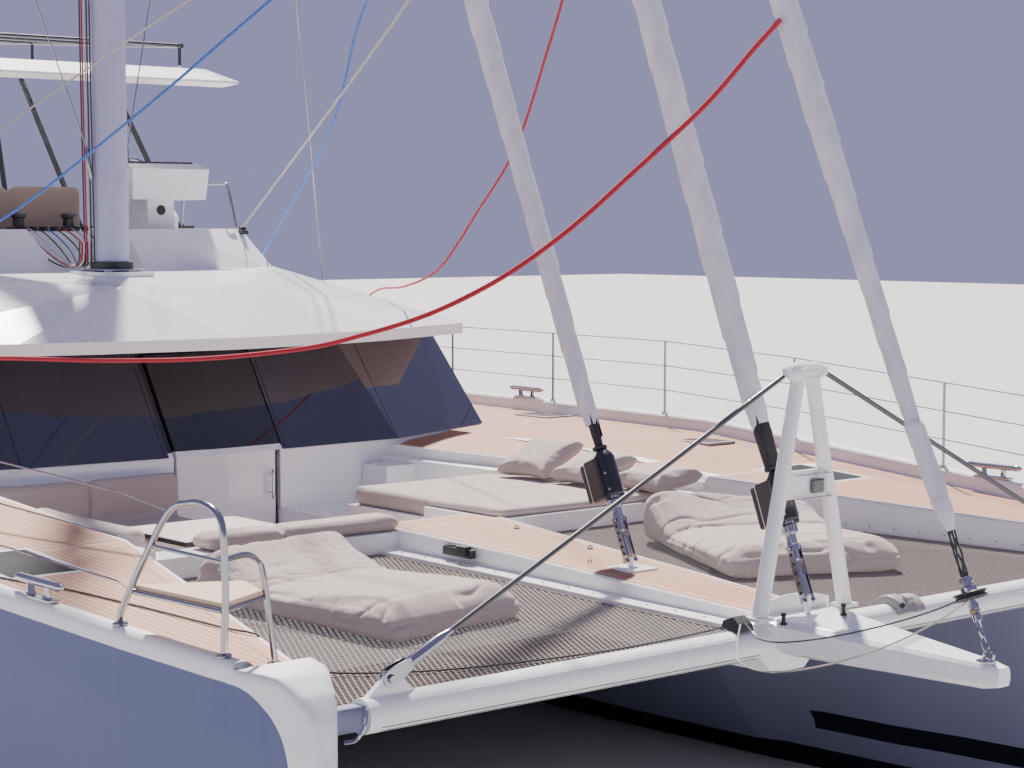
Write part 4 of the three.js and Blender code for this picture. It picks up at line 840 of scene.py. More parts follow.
SHACKLE_BODY = [
    (0, 0.012), (0.01, 0.026), (0.045, 0.028), (0.05, 0.02), (0.075, 0.02), (0.08, 0.03), (0.112, 0.03),
    (0.114, 0.02), (0.136, 0.02),
]
TURNBUCKLE = [
    (0.115, 0.012), (0.12, 0.026), (0.16, 0.03), (0.36, 0.03), (0.4, 0.024), (0.43, 0.0165), (0.46, 0.0155),
]
WINCH = [
    (0, 0.085), (0.03, 0.088), (0.035, 0.07), (0.05, 0.058), (0.11, 0.052), (0.13, 0.058), (0.14, 0.074),
    (0.165, 0.078), (0.172, 0.07), (0.19, 0.03), (0.192, 0.02),
]
DECK_BLOCK = [(0, 0.07), (0.03, 0.07), (0.04, 0.05), (0.13, 0.045), (0.15, 0.06), (0.165, 0.05)]
SEAT_POD = [
    (0, 0.09), (0.02, 0.09), (0.03, 0.05), (0.42, 0.05), (0.45, 0.16), (0.62, 0.17), (0.7, 0.12),
    (0.74, 0.05),
]


def furler_drive(name, wide):
    """A motor drive round the foot of a stay, and the chrome toggle that holds it to the deck."""
    height = 2.82
    place = stay_place(name, height)
    low = (STAYS[name][0][1] - height) / place.col[2].z

    replaced = [f"{name}_furler_drive"]

    def made(shape, part, look, slot, **settings):
        shape.moved(place).piece(f"{name}_{part}", look, slot=slot, replaced=replaced, **settings)

    housing = Shape().lathe((0.014, 0, 0), UP, HOUSING, 40)
    housing.box((-0.04, -0.083, -0.148), (0.03, 0.083, -0.128))
    made(housing, "drive_housing", PAINT["housing"], "black", angle=40)
    motor = Shape().box((-0.098, -0.102, -0.17), (0.022, 0.102, 0.118))
    motor.box((-0.148, -0.096, -0.162), (-0.102, 0.096, 0.107))
    made(motor, "drive_motor", PAINT["motor"], "black", bevel=0.016, segments=4)
    seam = Shape().box((-0.103, -0.0965, -0.164), (-0.097, 0.0965, 0.109))
    made(seam, "drive_seam", WHITE, "black", bevel=0.002)
    chrome = Shape()
    for side in (-1, 1):
        for z in (-0.112, 0.0):
            chrome.lathe((0.052, side * 0.06, z), (0.6, side, 0), BOLT_HEAD, 10)
    chrome.lathe((0, 0, 0), UP, NECK, 28).box((-0.062, -0.014, -0.226), (0.062, 0.014, -0.178))
    for y in (-0.041, 0.033):
        chrome.box((-0.024, y, low - 0.012), (0.024, y + 0.008, -0.3))
    chrome.lathe((0, 0, 0), UP, [
        (low + 0.03, 0.012), (low + 0.04, 0.022), (low + 0.16, 0.024), (low + 0.17, 0.015), (-0.4, 0.015),
        (-0.39, 0.024), (-0.33, 0.026)], 20)
    for z in (low, -0.318):
        chrome.lathe((0, 0, z), PORT, CLEVIS_PIN, 14)
    # painted shade: dark dots where the toggle's plates have holes
    dots = Shape()
    for side in (-1, 1):
        for z in np.linspace(low + 0.05, -0.36, 5):
            dots.lathe((0, side * 0.041, z), (0, side, 0), HOLE_DOT, 12)
    made(dots, "toggle_hole_shade", TRIM, "steel")
    made(chrome, "toggle", CHROME, "steel", bevel=0.0012)
    spindle = Shape().lathe((0, 0, 0), UP, [
        (0.174, 0.03), (0.175, 0.05), (0.195, 0.052), (0.205, wide * 0.8), (0.3, wide * 0.9), (0.42, wide),
        (0.47, wide * 0.9), (0.5, 0.03)], 28)
    for y in (-wide * 0.8, wide * 0.8):
        spindle.box((-0.014, y - 0.005, 0.26), (0.03, y + 0.005, 0.53))
    spindle.moved(place).piece(
        f"{name}_tack_fitting", TRIM, name, "sailcloth", bevel=0.003, replaced=[f"{name}_furled"])


furler_drive("genoa", 0.058)
furler_drive("staysail", 0.036)


def code_zero_foot():
    """The free sail's drum, swivel, lashing and the loose sleeve over its lower end."""
    place = stay_place("code_zero", 2.392)
    lashing = Shape()
    for k, turn in enumerate(turns(5)):
        line = []
        for part in [i / 25 for i in range(26)]:
            angle = turn + part * 2.4 + 0.2 * math.sin(9 * part + k)
            radius = 0.012 + 0.01 * math.sin(math.pi * part) + 0.003 * math.sin(14 * part + 2 * k)
            line.append((radius * math.cos(angle), radius * math.sin(angle), 0.105 + 0.33 * part))
        lashing.tube(line, 0.0055, 8)
    rings = []
    for d in spread(SLEEVE[0][0], SLEEVE[-1][0], 0.012):
        ring = []
        for angle in turns(40):
            c, s = math.cos(angle), math.sin(angle)
            at = Vector((c * 1.6, s * 1.6, d * 9))
            tied = 0.08 * math.exp(-(((d - 0.6) / 0.01) ** 2))
            radius = column(SLEEVE, d) * (0.95 + 0.1 * noise.noise(at) + 0.05 * noise.noise(at * 2.7) - tied)
            ring.append((c * radius - 0.045 * (d - 0.4) / 0.75, s * radius, d))
        rings.append(ring)
    drum = Shape().lathe((0, 0, 0), UP, DRUM, 48)
    swivel = Shape().lathe((0, 0, 0), UP, SWIVEL, 28).lathe((0, 0, 0.108), PORT, SWIVEL_PIN, 14)
    for part, shape, look, slot, angle in (
        ("drum", drum, BLACK, "black", 35), ("swivel", swivel, CHROME, "steel", 35),
        ("lashing", lashing, ROPE["black"], "sailcloth", 35),
        ("sleeve", Shape().rings(rings), SAILCLOTH, "sailcloth", 60),
    ):
        shape.moved(place).piece(
            f"code_zero_{part}", look, "code_zero", slot, angle, replaced=["code_zero_furled"])


code_zero_foot()


# Soft goods
def evaluated_mesh(obj):
    return bpy.data.meshes.new_from_object(obj.evaluated_get(bpy.context.evaluated_depsgraph_get()))


def linked(name, mesh):
    obj = bpy.data.objects.new(name, mesh)
    scene.collection.objects.link(obj)
    return obj


def coordinates(mesh):
    out = np.zeros(len(mesh.vertices) * 3)
    mesh.vertices.foreach_get("co", out)
    return out.reshape(-1, 3)


def remeshed(shape, voxel):
    """The shape as an even skin of small faces."""
    rough = bpy.data.meshes.new("rough")
    rough.from_pydata(shape.verts, [], shape.faces)
    obj = linked("rough", rough)
    modifier = obj.modifiers.new("remesh", "REMESH")
    modifier.mode = "VOXEL"
    modifier.voxel_size = voxel
    mesh = evaluated_mesh(obj)
    bpy.data.objects.remove(obj)
    return mesh


def swollen(mesh, cap, pressure, slack, stiff, steps):
    """Blows the mesh up as cloth, with each point kept within cap of where it was."""
    start = coordinates(mesh)
    obj = linked("swelling", mesh)
    settings = obj.modifiers.new("cloth", "CLOTH").settings
    settings.quality = 5
    settings.mass = 0.35
    settings.use_pressure = True
    settings.uniform_pressure_force = pressure
    settings.effector_weights.gravity = 0
    settings.shrink_min = -slack
    settings.tension_stiffness = stiff
    settings.compression_stiffness = stiff
    settings.bending_stiffness = 0.3
    for step in range(1, steps + 1):
        scene.frame_set(step)
    moved = coordinates(evaluated_mesh(obj)) - start
    scene.frame_set(1)
    bpy.data.objects.remove(obj)
    far = np.linalg.norm(moved, axis=1, keepdims=True)
    moved *= np.minimum(1, cap / np.maximum(far, 1e-9))
    mesh.vertices.foreach_set("co", (start + moved).ravel())


def relaxed(mesh, rounds):
    """Averages each point with its neighbours."""
    form = bmesh.new()
    form.from_mesh(mesh)
    axes = dict(use_axis_x=True, use_axis_y=True, use_axis_z=True)
    for _ in range(rounds):
        bmesh.ops.smooth_vert(form, verts=form.verts, factor=0.5, **axes)
    form.to_mesh(mesh)
    form.free()


def cushion(name, shape, replaced, voxel=0.02, cap=0.008, pressure=2.5, slack=0.01, stiff=15.0, steps=10,
            smoothing=1, seam=None, floor=None, fill=0.85, look=FABRIC):
    """A stuffed piece swollen from a shape. seam gives how deep a point is pulled in, floor its lowest z."""
    mesh = remeshed(shape, voxel)
    relaxed(mesh, smoothing)
    swollen(mesh, cap, pressure, slack, stiff, steps)
    relaxed(mesh, 1)
    obj = linked(name, mesh)
    fine = obj.modifiers.new("fine", "SUBSURF")
    fine.levels = fine.render_levels = 1
    mesh = evaluated_mesh(obj)
    obj.modifiers.clear()
    obj.data = mesh
    mesh.name = name
    places = coordinates(mesh)
    if seam:
        normals = np.array([v.normal for v in mesh.vertices])
        places -= normals * np.array([seam(Vector(p)) for p in places])[:, None]
    if floor:
        places[:, 2] = np.maximum(places[:, 2], [floor(x, y) for x, y, _ in places])
    mesh.vertices.foreach_set("co", places.ravel())
    mesh.update()
    mesh.materials.clear()
    mesh.materials.append(look)
    mesh.shade_smooth()
    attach(obj, "boat")
    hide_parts(replaced)


def creases(place, scale, depth, seed=0.0):
    """How far soft folds pull in a point: winding valleys that fade in and out."""
    at = Vector((place.x, place.y, place.z + seed))
    bent = at + noise.noise_vector(at * 1.7) * 0.22
    valley = math.exp(-((noise.noise(bent * scale) / 0.09) ** 2))
    fine = math.exp(-((noise.noise(bent * scale * 2.3) / 0.1) ** 2))
    share = min(1.0, max(0.0, 0.5 + 1.8 * noise.noise(at * scale * 0.6)))
    return depth * (valley * share + 0.4 * fine * (1 - share))


def groove(distance, width, depth):
    """How far a sewn line pulls in a point at that distance from it."""
    return depth * math.exp(-((distance / width) ** 2))


def slab(outline, low, high, soft, shape):
    """Adds a block with blunt edges over an outline of x, y points."""
    corners = [Vector(p) for p in outline]
    rings = []
    for z, inset in ((low, soft), (low + soft, 0), (high - soft, 0), (high, soft)):
        ring = []
        for i, corner in enumerate(corners):
            ahead = (corners[(i + 1) % len(corners)] - corner).normalized()
            back = (corners[i - 1] - corner).normalized()
            for a, b in ((inset, inset + soft), (inset + soft, inset)):
                ring.append((*(corner + ahead * a + back * b), z))
        rings.append(ring)
    return shape.rings(rings)


def turned(degrees, axis):
    return Matrix.Rotation(math.radians(degrees), 4, axis)


# Loungers
LOUNGERS = {  # front edge centre, heading of the back in degrees, width, length, ridge at both ends, lift
    "starboard": ((8.635, -1.785), 8.5, 1.29, 1.75, (0.372, 0.372), 0.00275),
    "port": ((8.7, 1.33), -22, 1.45, 1.6, (0.458, 0.284), 0.007),
}
LOUNGER_TOP = [  # part of the length from the front, height, share of the ridge height
    (0.0, 0.1, 0), (0.03, 0.165, 0), (0.09, 0.208, 0), (0.3, 0.198, 0), (0.55, 0.166, 0), (0.66, 0.16, 0),
    (0.74, 0.1, 0.3), (0.84, 0.0, 0.76), (0.91, 0.0, 0.97), (0.95, 0.0, 0.99), (0.985, 0.0, 0.78),
    (1.0, 0.0, 0.42),
]
NET_SLOPE = 1.64  # degrees, down to the bows


def lounger(side):
    (x, y), heading, width, length, ridge, lift = LOUNGERS[side]
    place = Matrix.Translation((x, y, net_z(x) + 0.007 + lift))
    place = place @ turned(heading, "Z") @ turned(NET_SLOPE, "Y")
    rings = []
    for part in np.linspace(0, 1, 36):
        plain, share = column(LOUNGER_TOP, part, 1), column(LOUNGER_TOP, part, 2)
        inset = 0.05 * (max(0, 0.12 - part) / 0.12) ** 2 + 0.04 * (max(0, part - 0.9) / 0.1) ** 2
        half = width / 2 - 0.015 - inset
        ring = []
        for angle in turns(40):
            c, s = math.cos(angle), math.sin(angle)
            across = half * math.copysign(abs(c) ** 0.42, c)
            blend = (across / half + 1) / 2
            top = plain + share * (ridge[0] * (1 - blend) + ridge[1] * blend)
            height = top * (1 - 0.1 * share * (1 - (across / half) ** 2))
            up = math.copysign(abs(s) ** 0.5, s)
            z = height * (0.42 + 0.58 * up) if up > 0 else height * 0.42 * (1 + up)
            ring.append(place @ Vector((-part * length + 0.02 * (0.5 - part), across, max(0.004, z))))
        rings.append(ring)
    back = place.inverted()

    def seam(p):
        local = back @ p
        part = -local.x / length
        edge = groove(abs(abs(local.y) - width / 2 + 0.09), 0.012, 0.004) if local.z > 0.1 else 0
        fold = groove(abs(part - 0.665) * length, 0.02, 0.012) if local.z > 0.1 else 0
        band = groove(abs(local.z - 0.105), 0.011, 0.006) if part < 0.93 else 0
        stretched = Vector((local.x * 1.5, local.y * 0.8, local.z * 1.2))
        soft = creases(stretched, 3.4, 0.015, heading) if local.z > 0.05 else 0
        return edge + fold + band + soft

    cushion(
        f"lounger_{side}_cover", Shape().rings(rings), f"lounger_{side}", voxel=0.024, cap=0.022,
        pressure=3.0, slack=0.045, stiff=8.0, steps=18, smoothing=2, seam=seam,
        floor=lambda px, py: net_z(px) + 0.009, fill=0.7)


lounger("starboard")
lounger("port")

# Sunbed
MATTRESS_TOP = 2.35
LEDGE_Z = (2.2004, 2.2854)  # undersides of the two pads
PADS = [
    [(4.356, 0.516), (5.34, 0.516), (5.34, 2.196), (4.356, 1.944)],
    [(5.256, 0.516), (6.264, 0.516), (6.264, 2.432), (5.256, 2.172)],
]


def mattress_seam(p):
    joint = groove(abs(p.x - 5.31), 0.012, 0.012) if p.z > 2.3 else 0
    cross = groove(abs(p.y - 1.15), 0.01, 0.006) if p.z > 2.33 and p.x < 5.31 else 0
    piping = groove(abs(p.z - 2.33), 0.006, 0.003) + groove(abs(p.z - 2.302), 0.006, 0.003)
    return joint + cross + (piping if p.z < 2.335 else 0)


mattress = Shape()
for outline, low in zip(PADS, LEDGE_Z):
    slab(outline, low, MATTRESS_TOP - 0.005, 0.018, mattress)
cushion(
    "sunbed_cover", mattress, "sunbed_mattress", voxel=0.022, cap=0.009, seam=mattress_seam,
    floor=lambda x, y: LEDGE_Z[0] if x < 5.35 else LEDGE_Z[1], fill=0.9)
PILLOWS = [(0.62, 26, 3), (0.57, 16, -3), (0.57, 6, 0)]  # width, tilt and turn in degrees


def pillow(index, pull=0.055):
    """A square cushion with drawn-out corners, leaning on the side deck."""
    width, tilt, turn = PILLOWS[index]
    low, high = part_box(f"pillow_{index + 1}")
    place = Matrix.Translation((low + high) / 2) @ turned(turn, "Z") @ turned(tilt, "X")
    half_x, half_y = width / 2 - 0.012, 0.272
    top, bottom = [], []
    stops = [2 * i / 26 - 1 for i in range(27)]
    for u in stops:
        top.append([])
        bottom.append([])
        for v in stops:
            px = half_x * u * (1 - pull * (1 - v * v))
            py = half_y * v * (1 - pull * (1 - u * u))
            crown = max(0.0, (1 - u**4) * (1 - v**4)) ** 0.55
            sag = 0.01 * noise.noise(Vector((u * 2.1 + index * 7, v * 2.1, 3)))
            top[-1].append(place @ Vector((px, py, 0.008 + (0.058 + sag) * crown)))
            bottom[-1].append(place @ Vector((px, py, -0.008 - 0.06 * crown)))
    cushion(
        f"pillow_{index + 1}_cover", closed_sheet(top, bottom), f"pillow_{index + 1}", voxel=0.0125,
        cap=0.016, pressure=5.0, slack=0.09, stiff=6, steps=18, floor=lambda px, py: MATTRESS_TOP + 0.002,
        fill=0.55, look=PILLOW_FABRIC)


for index in range(len(PILLOWS)):
    pillow(index)


# Seats
def pads(name, replaced, *groups, **settings):
    """Separate pads in one piece, from groups of low, high, soft and the x0, x1, y0, y1 of each pad."""
    shape = Shape()
    for low, high, soft, rows in groups:
        for x0, x1, y0, y1 in rows:
            slab([(x0, y0), (x1, y0), (x1, y1), (x0, y1)], low, high, soft, shape)
    cushion(name, shape, replaced, **settings)


def dinette_seam(p):
    """The joints between neighbouring pads."""
    if p.z > 2.13:
        return groove(abs(p.y + 1.42), 0.01, 0.022) if p.x < 3.6 else 0
    joints = (abs(p.y + 1.61) if p.x < 3.97 else 1, abs(p.x - 4.71), abs(p.y + 1.49) if p.x > 5.4 else 1)
    return sum(groove(d, 0.01, 0.016) for d in joints)


pads(
    "dinette_covers", "dinette_cushions",
    (2.002, 2.115, 0.024, [
        (3.405, 3.955, -2.635, -1.62), (3.405, 3.955, -1.6, -0.595), (3.975, 4.7, -2.455, -2.065),
        (4.72, 5.44, -2.455, -2.065), (5.465, 5.965, -2.455, -1.5), (5.465, 5.965, -1.48, -0.495)]),
    (2.14, 2.475, 0.035, [(3.358, 3.49, -2.245, -1.43), (3.358, 3.49, -1.41, -0.585)]),
    (2.03, 2.455, 0.035, [(4.495, 5.97, -2.47, -2.335)]), voxel=0.028, seam=dinette_seam)
pads(
    "coaming_covers", "coaming_cushion",
    (2.292, 2.395, 0.032, [(5.99, 6.265, -2.045, -1.43), (5.99, 6.265, -1.41, -0.425)]))
pads(
    "flybridge_sofa_covers", "flybridge_sofa",
    (3.952, 4.37, 0.04, [(-1.515, -0.97, -0.715, 0.08), (-1.515, -0.97, 0.1, 0.895)]),
    (4.22, 4.89, 0.05, [(-0.955, -0.81, -0.715, 0.08), (-0.955, -0.81, 0.1, 0.895)]), voxel=0.036, look=TAN)
pads(
    "flybridge_lounge_covers", "flybridge_lounge",
    (3.952, 4.34, 0.05, [
        (-7.895, -7.155, -2.375, -0.65), (-7.895, -7.155, -0.63, 1.095), (-7.135, -5.88, -2.435, -1.755),
        (-5.86, -4.605, -2.435, -1.755)]), voxel=0.05, look=TAN)
pads(
    "saloon_sofa_covers", "saloon_sofa",
    (1.603, 2.045, 0.04, [(-3.895, -2.11, -2.635, -1.905), (-2.09, -0.92, -2.635, -1.905)]),
    (2.06, 2.495, 0.04, [(-3.895, -2.11, -2.655, -2.485), (-2.09, -0.305, -2.655, -2.485)]),
    (1.603, 2.045, 0.04, [(-0.895, -0.305, -2.46, -0.705)]), voxel=0.055)
AFT_PADS = ((-1.635, -0.55), (-0.53, 0.53), (0.55, 1.635))
pads(
    "aft_cockpit_covers", "aft_cockpit_cushion",
    (2.052, 2.165, 0.025, [(-8.585, -8.215, *sides) for sides in AFT_PADS]),
    (2.06, 2.535, 0.035, [(-8.733, -8.605, *sides) for sides in AFT_PADS]), voxel=0.036)


# Fittings of the foredeck
def rounded_bar(shape, points, radius, sides=14):
    """A round bar with domed ends."""
    line = curved(points, 0.02)
    ends = [min(1.0, 0.45 + 0.55 * min(i, len(line) - 1 - i) / 2) for i in range(len(line))]
    return shape.tube(line, [radius * e for e in ends], sides)


def bowsprit():
    """The arm ahead of the crossbeam, the plate behind the frame's legs and the tang of the stay."""
    rings = []
    for x, w, low, high in (
        (9.645, 0.425, 2.06, 2.128), (9.87, 0.33, 1.925, 2.132), (11.15, 0.075, 1.912, 2.052),
        (11.25, 0.055, 1.93, 2.035),
    ):
        half = [(0.8 * w, low), (w, low + 0.03), (w, high - 0.03), (0.8 * w, high)]
        rings.append([(x, y, z) for y, z in half] + [(x, -y, z) for y, z in reversed(half)])
    shape = Shape().rings(rings)
    plate = []
    for y in np.linspace(-0.33, 0.33, 19):
        crown = 2.19 + 0.05 * (1 - (y / 0.33) ** 2)
        plate.append([(9.655, y, 2.1), (9.673, y, 2.1), (9.673, y, crown), (9.655, y, crown)])
    shape.rings(plate).box((9.775, -0.016, 2.1), (9.805, 0.016, 2.25))
    shape.piece("bowsprit_arm", WHITE, bevel=0.012, segments=3, replaced=["bowsprit"])
    place = stay_place("code_zero", 2.11)
    chrome = Shape().lathe((11.12, 0, 2.046), UP, [(0, 0.056), (0.012, 0.056), (0.016, 0.044)])
    chrome.moved(place.inverted())
    loop = np.linspace(0, 2 * math.pi, 25)
    chrome.tube([(0.034 * math.cos(t), 0, 0.03 * math.sin(t) - 0.024) for t in loop], 0.009, 10)
    for middle, wide, crosswise in ((0.05, 0.018, False), (0.14, 0.02, True)):
        bow = []
        for t in np.linspace(0, 2 * math.pi, 29):
            u, v = wide * math.cos(t), middle + 0.05 * math.sin(t)
            bow.append((0, u, v) if crosswise else (u, 0, v))
        chrome.tube(bow, 0.007, 8)
    chrome.lathe((0, 0, 0.17), UP, SHACKLE_BODY, 22)
    chrome.moved(place).piece("code_zero_shackle", CHROME, slot="steel")
    pin = Shape().lathe((0, 0, 0.235), PORT, [(-0.034, 0.014), (0.034, 0.014)], 14)
    pin.moved(place).piece("code_zero_pin", BRASS, slot="steel", bevel=0.002)


bowsprit()

# Striker stays: dark rods, each with a fork and turnbuckle at its foot
stay_foot, stay_head = Vector((BEAM_X, 3.15, 2.175)), Vector((BEAM_X, 0.15, 3.61))
stay_way = (stay_head - stay_foot).normalized()
stay_side = stay_way.cross(Vector(AHEAD)).normalized()
stay_length = (stay_head - stay_foot).length
rod = Shape().tube([stay_foot + stay_way * d for d in (0.3, 1.2, 2.2, stay_length - 0.05)], 0.0155, 14)
both_sides("striker_rod", rod, PAINT["rod"], slot="steel", replaced="striker_stay")
FORK = [(-0.045, 0.018), (-0.03, 0.04), (0.0, 0.048), (0.06, 0.046), (0.13, 0.034), (0.155, 0.026)]
buckle = Shape().lathe(stay_foot, stay_way, TURNBUCKLE, 20)
for off in (-0.027, 0.015):
    ring = []
    for d, half in FORK:
        base, thick = stay_foot + stay_way * d + Vector((off, 0, 0)), Vector((0.012, 0, 0))
        low, high = base - stay_side * half, base + stay_side * half
        ring.append([low, high, high + thick, low + thick])
    buckle.rings(ring)
buckle.lathe(stay_foot, AHEAD, [(-0.045, 0.02), (-0.03, 0.024), (0.03, 0.024), (0.045, 0.02)], 16)
both_sides("striker_turnbuckle", buckle, STEEL, slot="steel", bevel=0.002)

# Crossbeam: dark lines of painted shade in the two grooves along its front, end pins, and the roller beside
# the frame
groove_shade_lines = Shape()
for angle in (-0.95, -0.62):
    x, z = BEAM_X + 0.0945 * math.cos(angle), BEAM_Z + 0.0945 * math.sin(angle)
    groove_shade_lines.tube([(x, y, z) for y in (0.46, 1.5, 3.25)], 0.0028, 6)
both_sides("beam_groove_shade", groove_shade_lines, TRIM, slot="black")
END_PIN = [(0, 0.04), (0.06, 0.04), (0.075, 0.03), (0.2, 0.028), (0.215, 0.018)]
pins = Shape().lathe((BEAM_X, 3.3, BEAM_Z + 0.01), PORT, END_PIN, 22)
hook = [(0.1, 3.36, 2.05), (0.135, 3.4, 1.99), (0.12, 3.44, 1.92), (0.06, 3.47, 1.9)]
pins.tube(curved([(BEAM_X + x, y, z) for x, y, z in hook], 0.02), 0.011, 10)
both_sides("beam_pin", pins, CHROME, slot="steel")


def beam_arc(radius, y, angles):
    return [(BEAM_X + radius * math.cos(t), y, BEAM_Z + radius * math.sin(t)) for t in angles]


roller = Shape()
cheek_turn = [math.radians(a) for a in range(20, 166, 12)]
for y, grow in ((0.84, 1.0), (0.99, 0.92)):
    cheek = []
    for off, scale in ((-0.052, 0.88), (-0.042, 1.0), (0.042, 1.0), (0.052, 0.88)):
        outer = beam_arc(0.148 * scale * grow, y + off, cheek_turn)
        cheek.append(outer + beam_arc(0.093, y + off, cheek_turn[::-1]))
    roller.rings(cheek)
roller.lathe((BEAM_X + 0.09, 0.86, BEAM_Z + 0.12), PORT, [(0, 0.026), (0.07, 0.02)], 16)
roller.piece("beam_roller", GREY, slot="alloy", bevel=0.008, segments=3)
roller_bolt = Shape().lathe(
    (BEAM_X + 0.118, 0.8, BEAM_Z + 0.1), (1, 0, 0.8), [(-0.01, 0.016), (0.012, 0.016), (0.014, 0.01)], 12)
roller_bolt.piece("roller_bolt", TRIM, slot="black")

# Frame: navigation lamp between two grab bars, a ring in its cap, bolts and a fairlead at its foot
lamp = Shape().box((9.765, 0.035, 2.865), (9.795, 0.14, 2.955))
lamp.piece("frame_lamp", PAINT["lamp_glass"], slot="glass", bevel=0.012, segments=3)
bars = Shape()
for z in (2.985, 2.84):
    rounded_bar(bars, [(9.772, -0.1, z), (9.79, -0.07, z), (9.79, 0.2, z), (9.772, 0.23, z)], 0.0055, 10)
bars.lathe((9.765, 0.087, 2.972), UP, [(0, 0.012), (0.016, 0.012)], 10)
bars.piece("frame_bars", CHROME, slot="steel")
cap_turn = np.linspace(0, 2 * math.pi, 33)
cap_line = [(BEAM_X + 0.062, 0.098 * math.cos(t), 3.607 + 0.036 * math.sin(t)) for t in cap_turn]
Shape().tube(cap_line, 0.004, 8).piece("frame_cap_ring", WHITE)
feet = Shape()
for x, y in ((9.95, 0.144), (9.93, -0.367)):
    feet.lathe((x, y, 2.13), UP, [
        (0, 0.022), (0.012, 0.022), (0.014, 0.012), (0.05, 0.012), (0.055, 0.017), (0.07, 0.015)], 14)
feet.piece("beam_bolts", TRIM, slot="black")
wedge = Shape().rings([
    [(x, y0, low), (x, y1, low), (x, y2, high), (x, y3, high)]
    for x, y0, y1, y2, y3, low, high in (
        (9.67, -0.63, -0.49, -0.5, -0.62, 2.115, 2.15),
        (9.74, -0.64, -0.48, -0.5, -0.6, 2.1, 2.182),
        (9.81, -0.63, -0.49, -0.5, -0.61, 2.09, 2.135),
    )
])
wedge.piece("line_block", BLACK, slot="black", bevel=0.008, segments=3)

# Walkway: plate and eye at the inner stay, a clutch on the side, screws along the ledges and the nets' lips
plate = Shape().box((8.1, -0.125, 2.2), (8.36, 0.125, 2.222))
plate.piece("tack_plate", WHITE, bevel=0.006, segments=3)
eyes = Shape()
for x, y, z in ((7.95, -0.12, 2.224), (6.75, 0.25, 2.29), (7.6, 0.2, 2.249)):
    arch = [(x, y + 0.018 * math.cos(t), z + 0.004 + 0.02 * math.sin(t)) for t in np.linspace(0, math.pi, 13)]
    eyes.lathe((x, y, z - 0.002), UP, [(0, 0.024), (0.006, 0.022)], 16).tube(arch, 0.0045, 8)
eyes.piece("deck_eyes", CHROME, slot="steel")
clutch = Shape().box((6.8, -0.475, 2.185), (7.12, -0.432, 2.245))
clutch.box((6.98, -0.5, 2.2), (7.08, -0.44, 2.268))
rounded_bar(clutch, [(6.84, -0.486, 2.25), (6.96, -0.49, 2.262), (7.02, -0.49, 2.255)], 0.011)
clutch.piece("line_clutch", BLACK, slot="black", bevel=0.008, segments=3)
screws = [(x, column(WALK, x, 2) + 0.1, net_z(x) + 0.031) for x in spread(6.45, 9.5, 0.235)]
screws += [(x, inner_deck(x) - 0.004, net_z(x) + 0.055) for x in spread(6.5, 9.5, 0.2)]
heads = Shape()
for at in screws:
    heads.lathe(at, UP, [(-0.002, 0.0085), (0.003, 0.00782), (0.006, 0.0034)], 10)
both_sides("net_screws", heads, STEEL, slot="steel")

# Flush deck hatches: dark panes in pale frames
QUARTERS = ((1, 1), (-1, 1), (-1, -1), (1, -1))
hatch_frames, panes = Shape(), Shape()
for x, y, length, width in (
    (2.27, 4.42, 0.5, 0.4), (4.95, 4.02, 0.42, 0.34), (-1.2, 4.2, 0.55, 0.45), (-4.2, 4.2, 0.55, 0.45),
):
    z = deck_z(x) + 0.004
    half_x, half_y = length / 2, width / 2
    rows = []
    for a, b in QUARTERS:
        ox, oy = x + half_x * a, y + half_y * b
        ix, iy = x + (half_x - 0.035) * a, y + (half_y - 0.035) * b
        rows.append([(ox, oy, z - 0.01), (ox, oy, z + 0.014), (ix, iy, z + 0.018), (ix, iy, z - 0.01)])
    hatch_frames.rings(rows, closed=True)
    pane_x, pane_y = half_x - 0.034, half_y - 0.034
    panes.box((x - pane_x, y - pane_y, z - 0.006), (x + pane_x, y + pane_y, z + 0.013))
both_sides("flush_hatch_frame", hatch_frames, GREY, slot="alloy", bevel=0.004)
both_sides("flush_hatch_pane", panes, GLASS, slot="glass", bevel=0.004)

# Mooring cleats
CLEAT_LEG = [(0, 0.028), (0.02, 0.022), (0.07, 0.02)]
cleats = Shape()
for x in (8.0, 1.6, -6.6):
    y, z = outer_deck(x) - 0.062, deck_z(x) + BULWARK
    cleats.box((x - 0.17, y - 0.036, z - 0.004), (x + 0.17, y + 0.036, z + 0.012))
    for off in (-0.09, 0.09):
        cleats.lathe((x + off, y, z + 0.008), (off * 1.4, 0, 1), CLEAT_LEG, 16)
    rounded_bar(cleats, [(x - 0.27, y, z + 0.092), (x, y, z + 0.09), (x + 0.27, y, z + 0.092)], 0.024, 16)
both_sides("cleats", cleats, CHROME, slot="steel", bevel=0.004)


# Pulpits: bent tubes with a cream seat, and the guard wires made fast to them
def rail_foot(x, inset):
    return Vector((x, outer_deck(x) - inset, deck_z(x - 0.042) + BULWARK))


aft, fore = rail_foot(8.75, 0.06), rail_foot(9.58, 0.055)
inner = Vector((9.42, 3.625, deck_z(9.378)))
lift = Vector((0, 0, 0.006))
hoop = [
    aft + lift, aft + Vector((0.003, 0, 0.06)), (8.95, aft.y, 2.74), (9.15, 4.08, 3.05), (9.32, 4.06, 3.115),
    (9.45, 4.05, 3.12), (9.56, 4.045, 3.08), (9.6, 4.04, 2.99), (9.6, fore.y, fore.z + 0.3), fore + lift,
]
inner_hoop = [
    (9.6, fore.y, 2.86), (9.48, 3.83, 2.85), (9.385, 3.7, 2.79), (9.385, 3.665, 2.7), inner + lift,
]
pulpit = Shape().tube(curved(hoop, 0.03), 0.0185, 20).tube(curved(inner_hoop, 0.02), 0.0165, 18)
corners = [(8.852, 4.125, 2.614), (9.585, 4.04, 2.603), (9.395, 3.677, 2.603), (9.105, 3.596, 2.612)]
for a, b in zip(corners, corners[1:] + corners[:1]):
    pulpit.tube(straight(a, b), 0.013, 12)
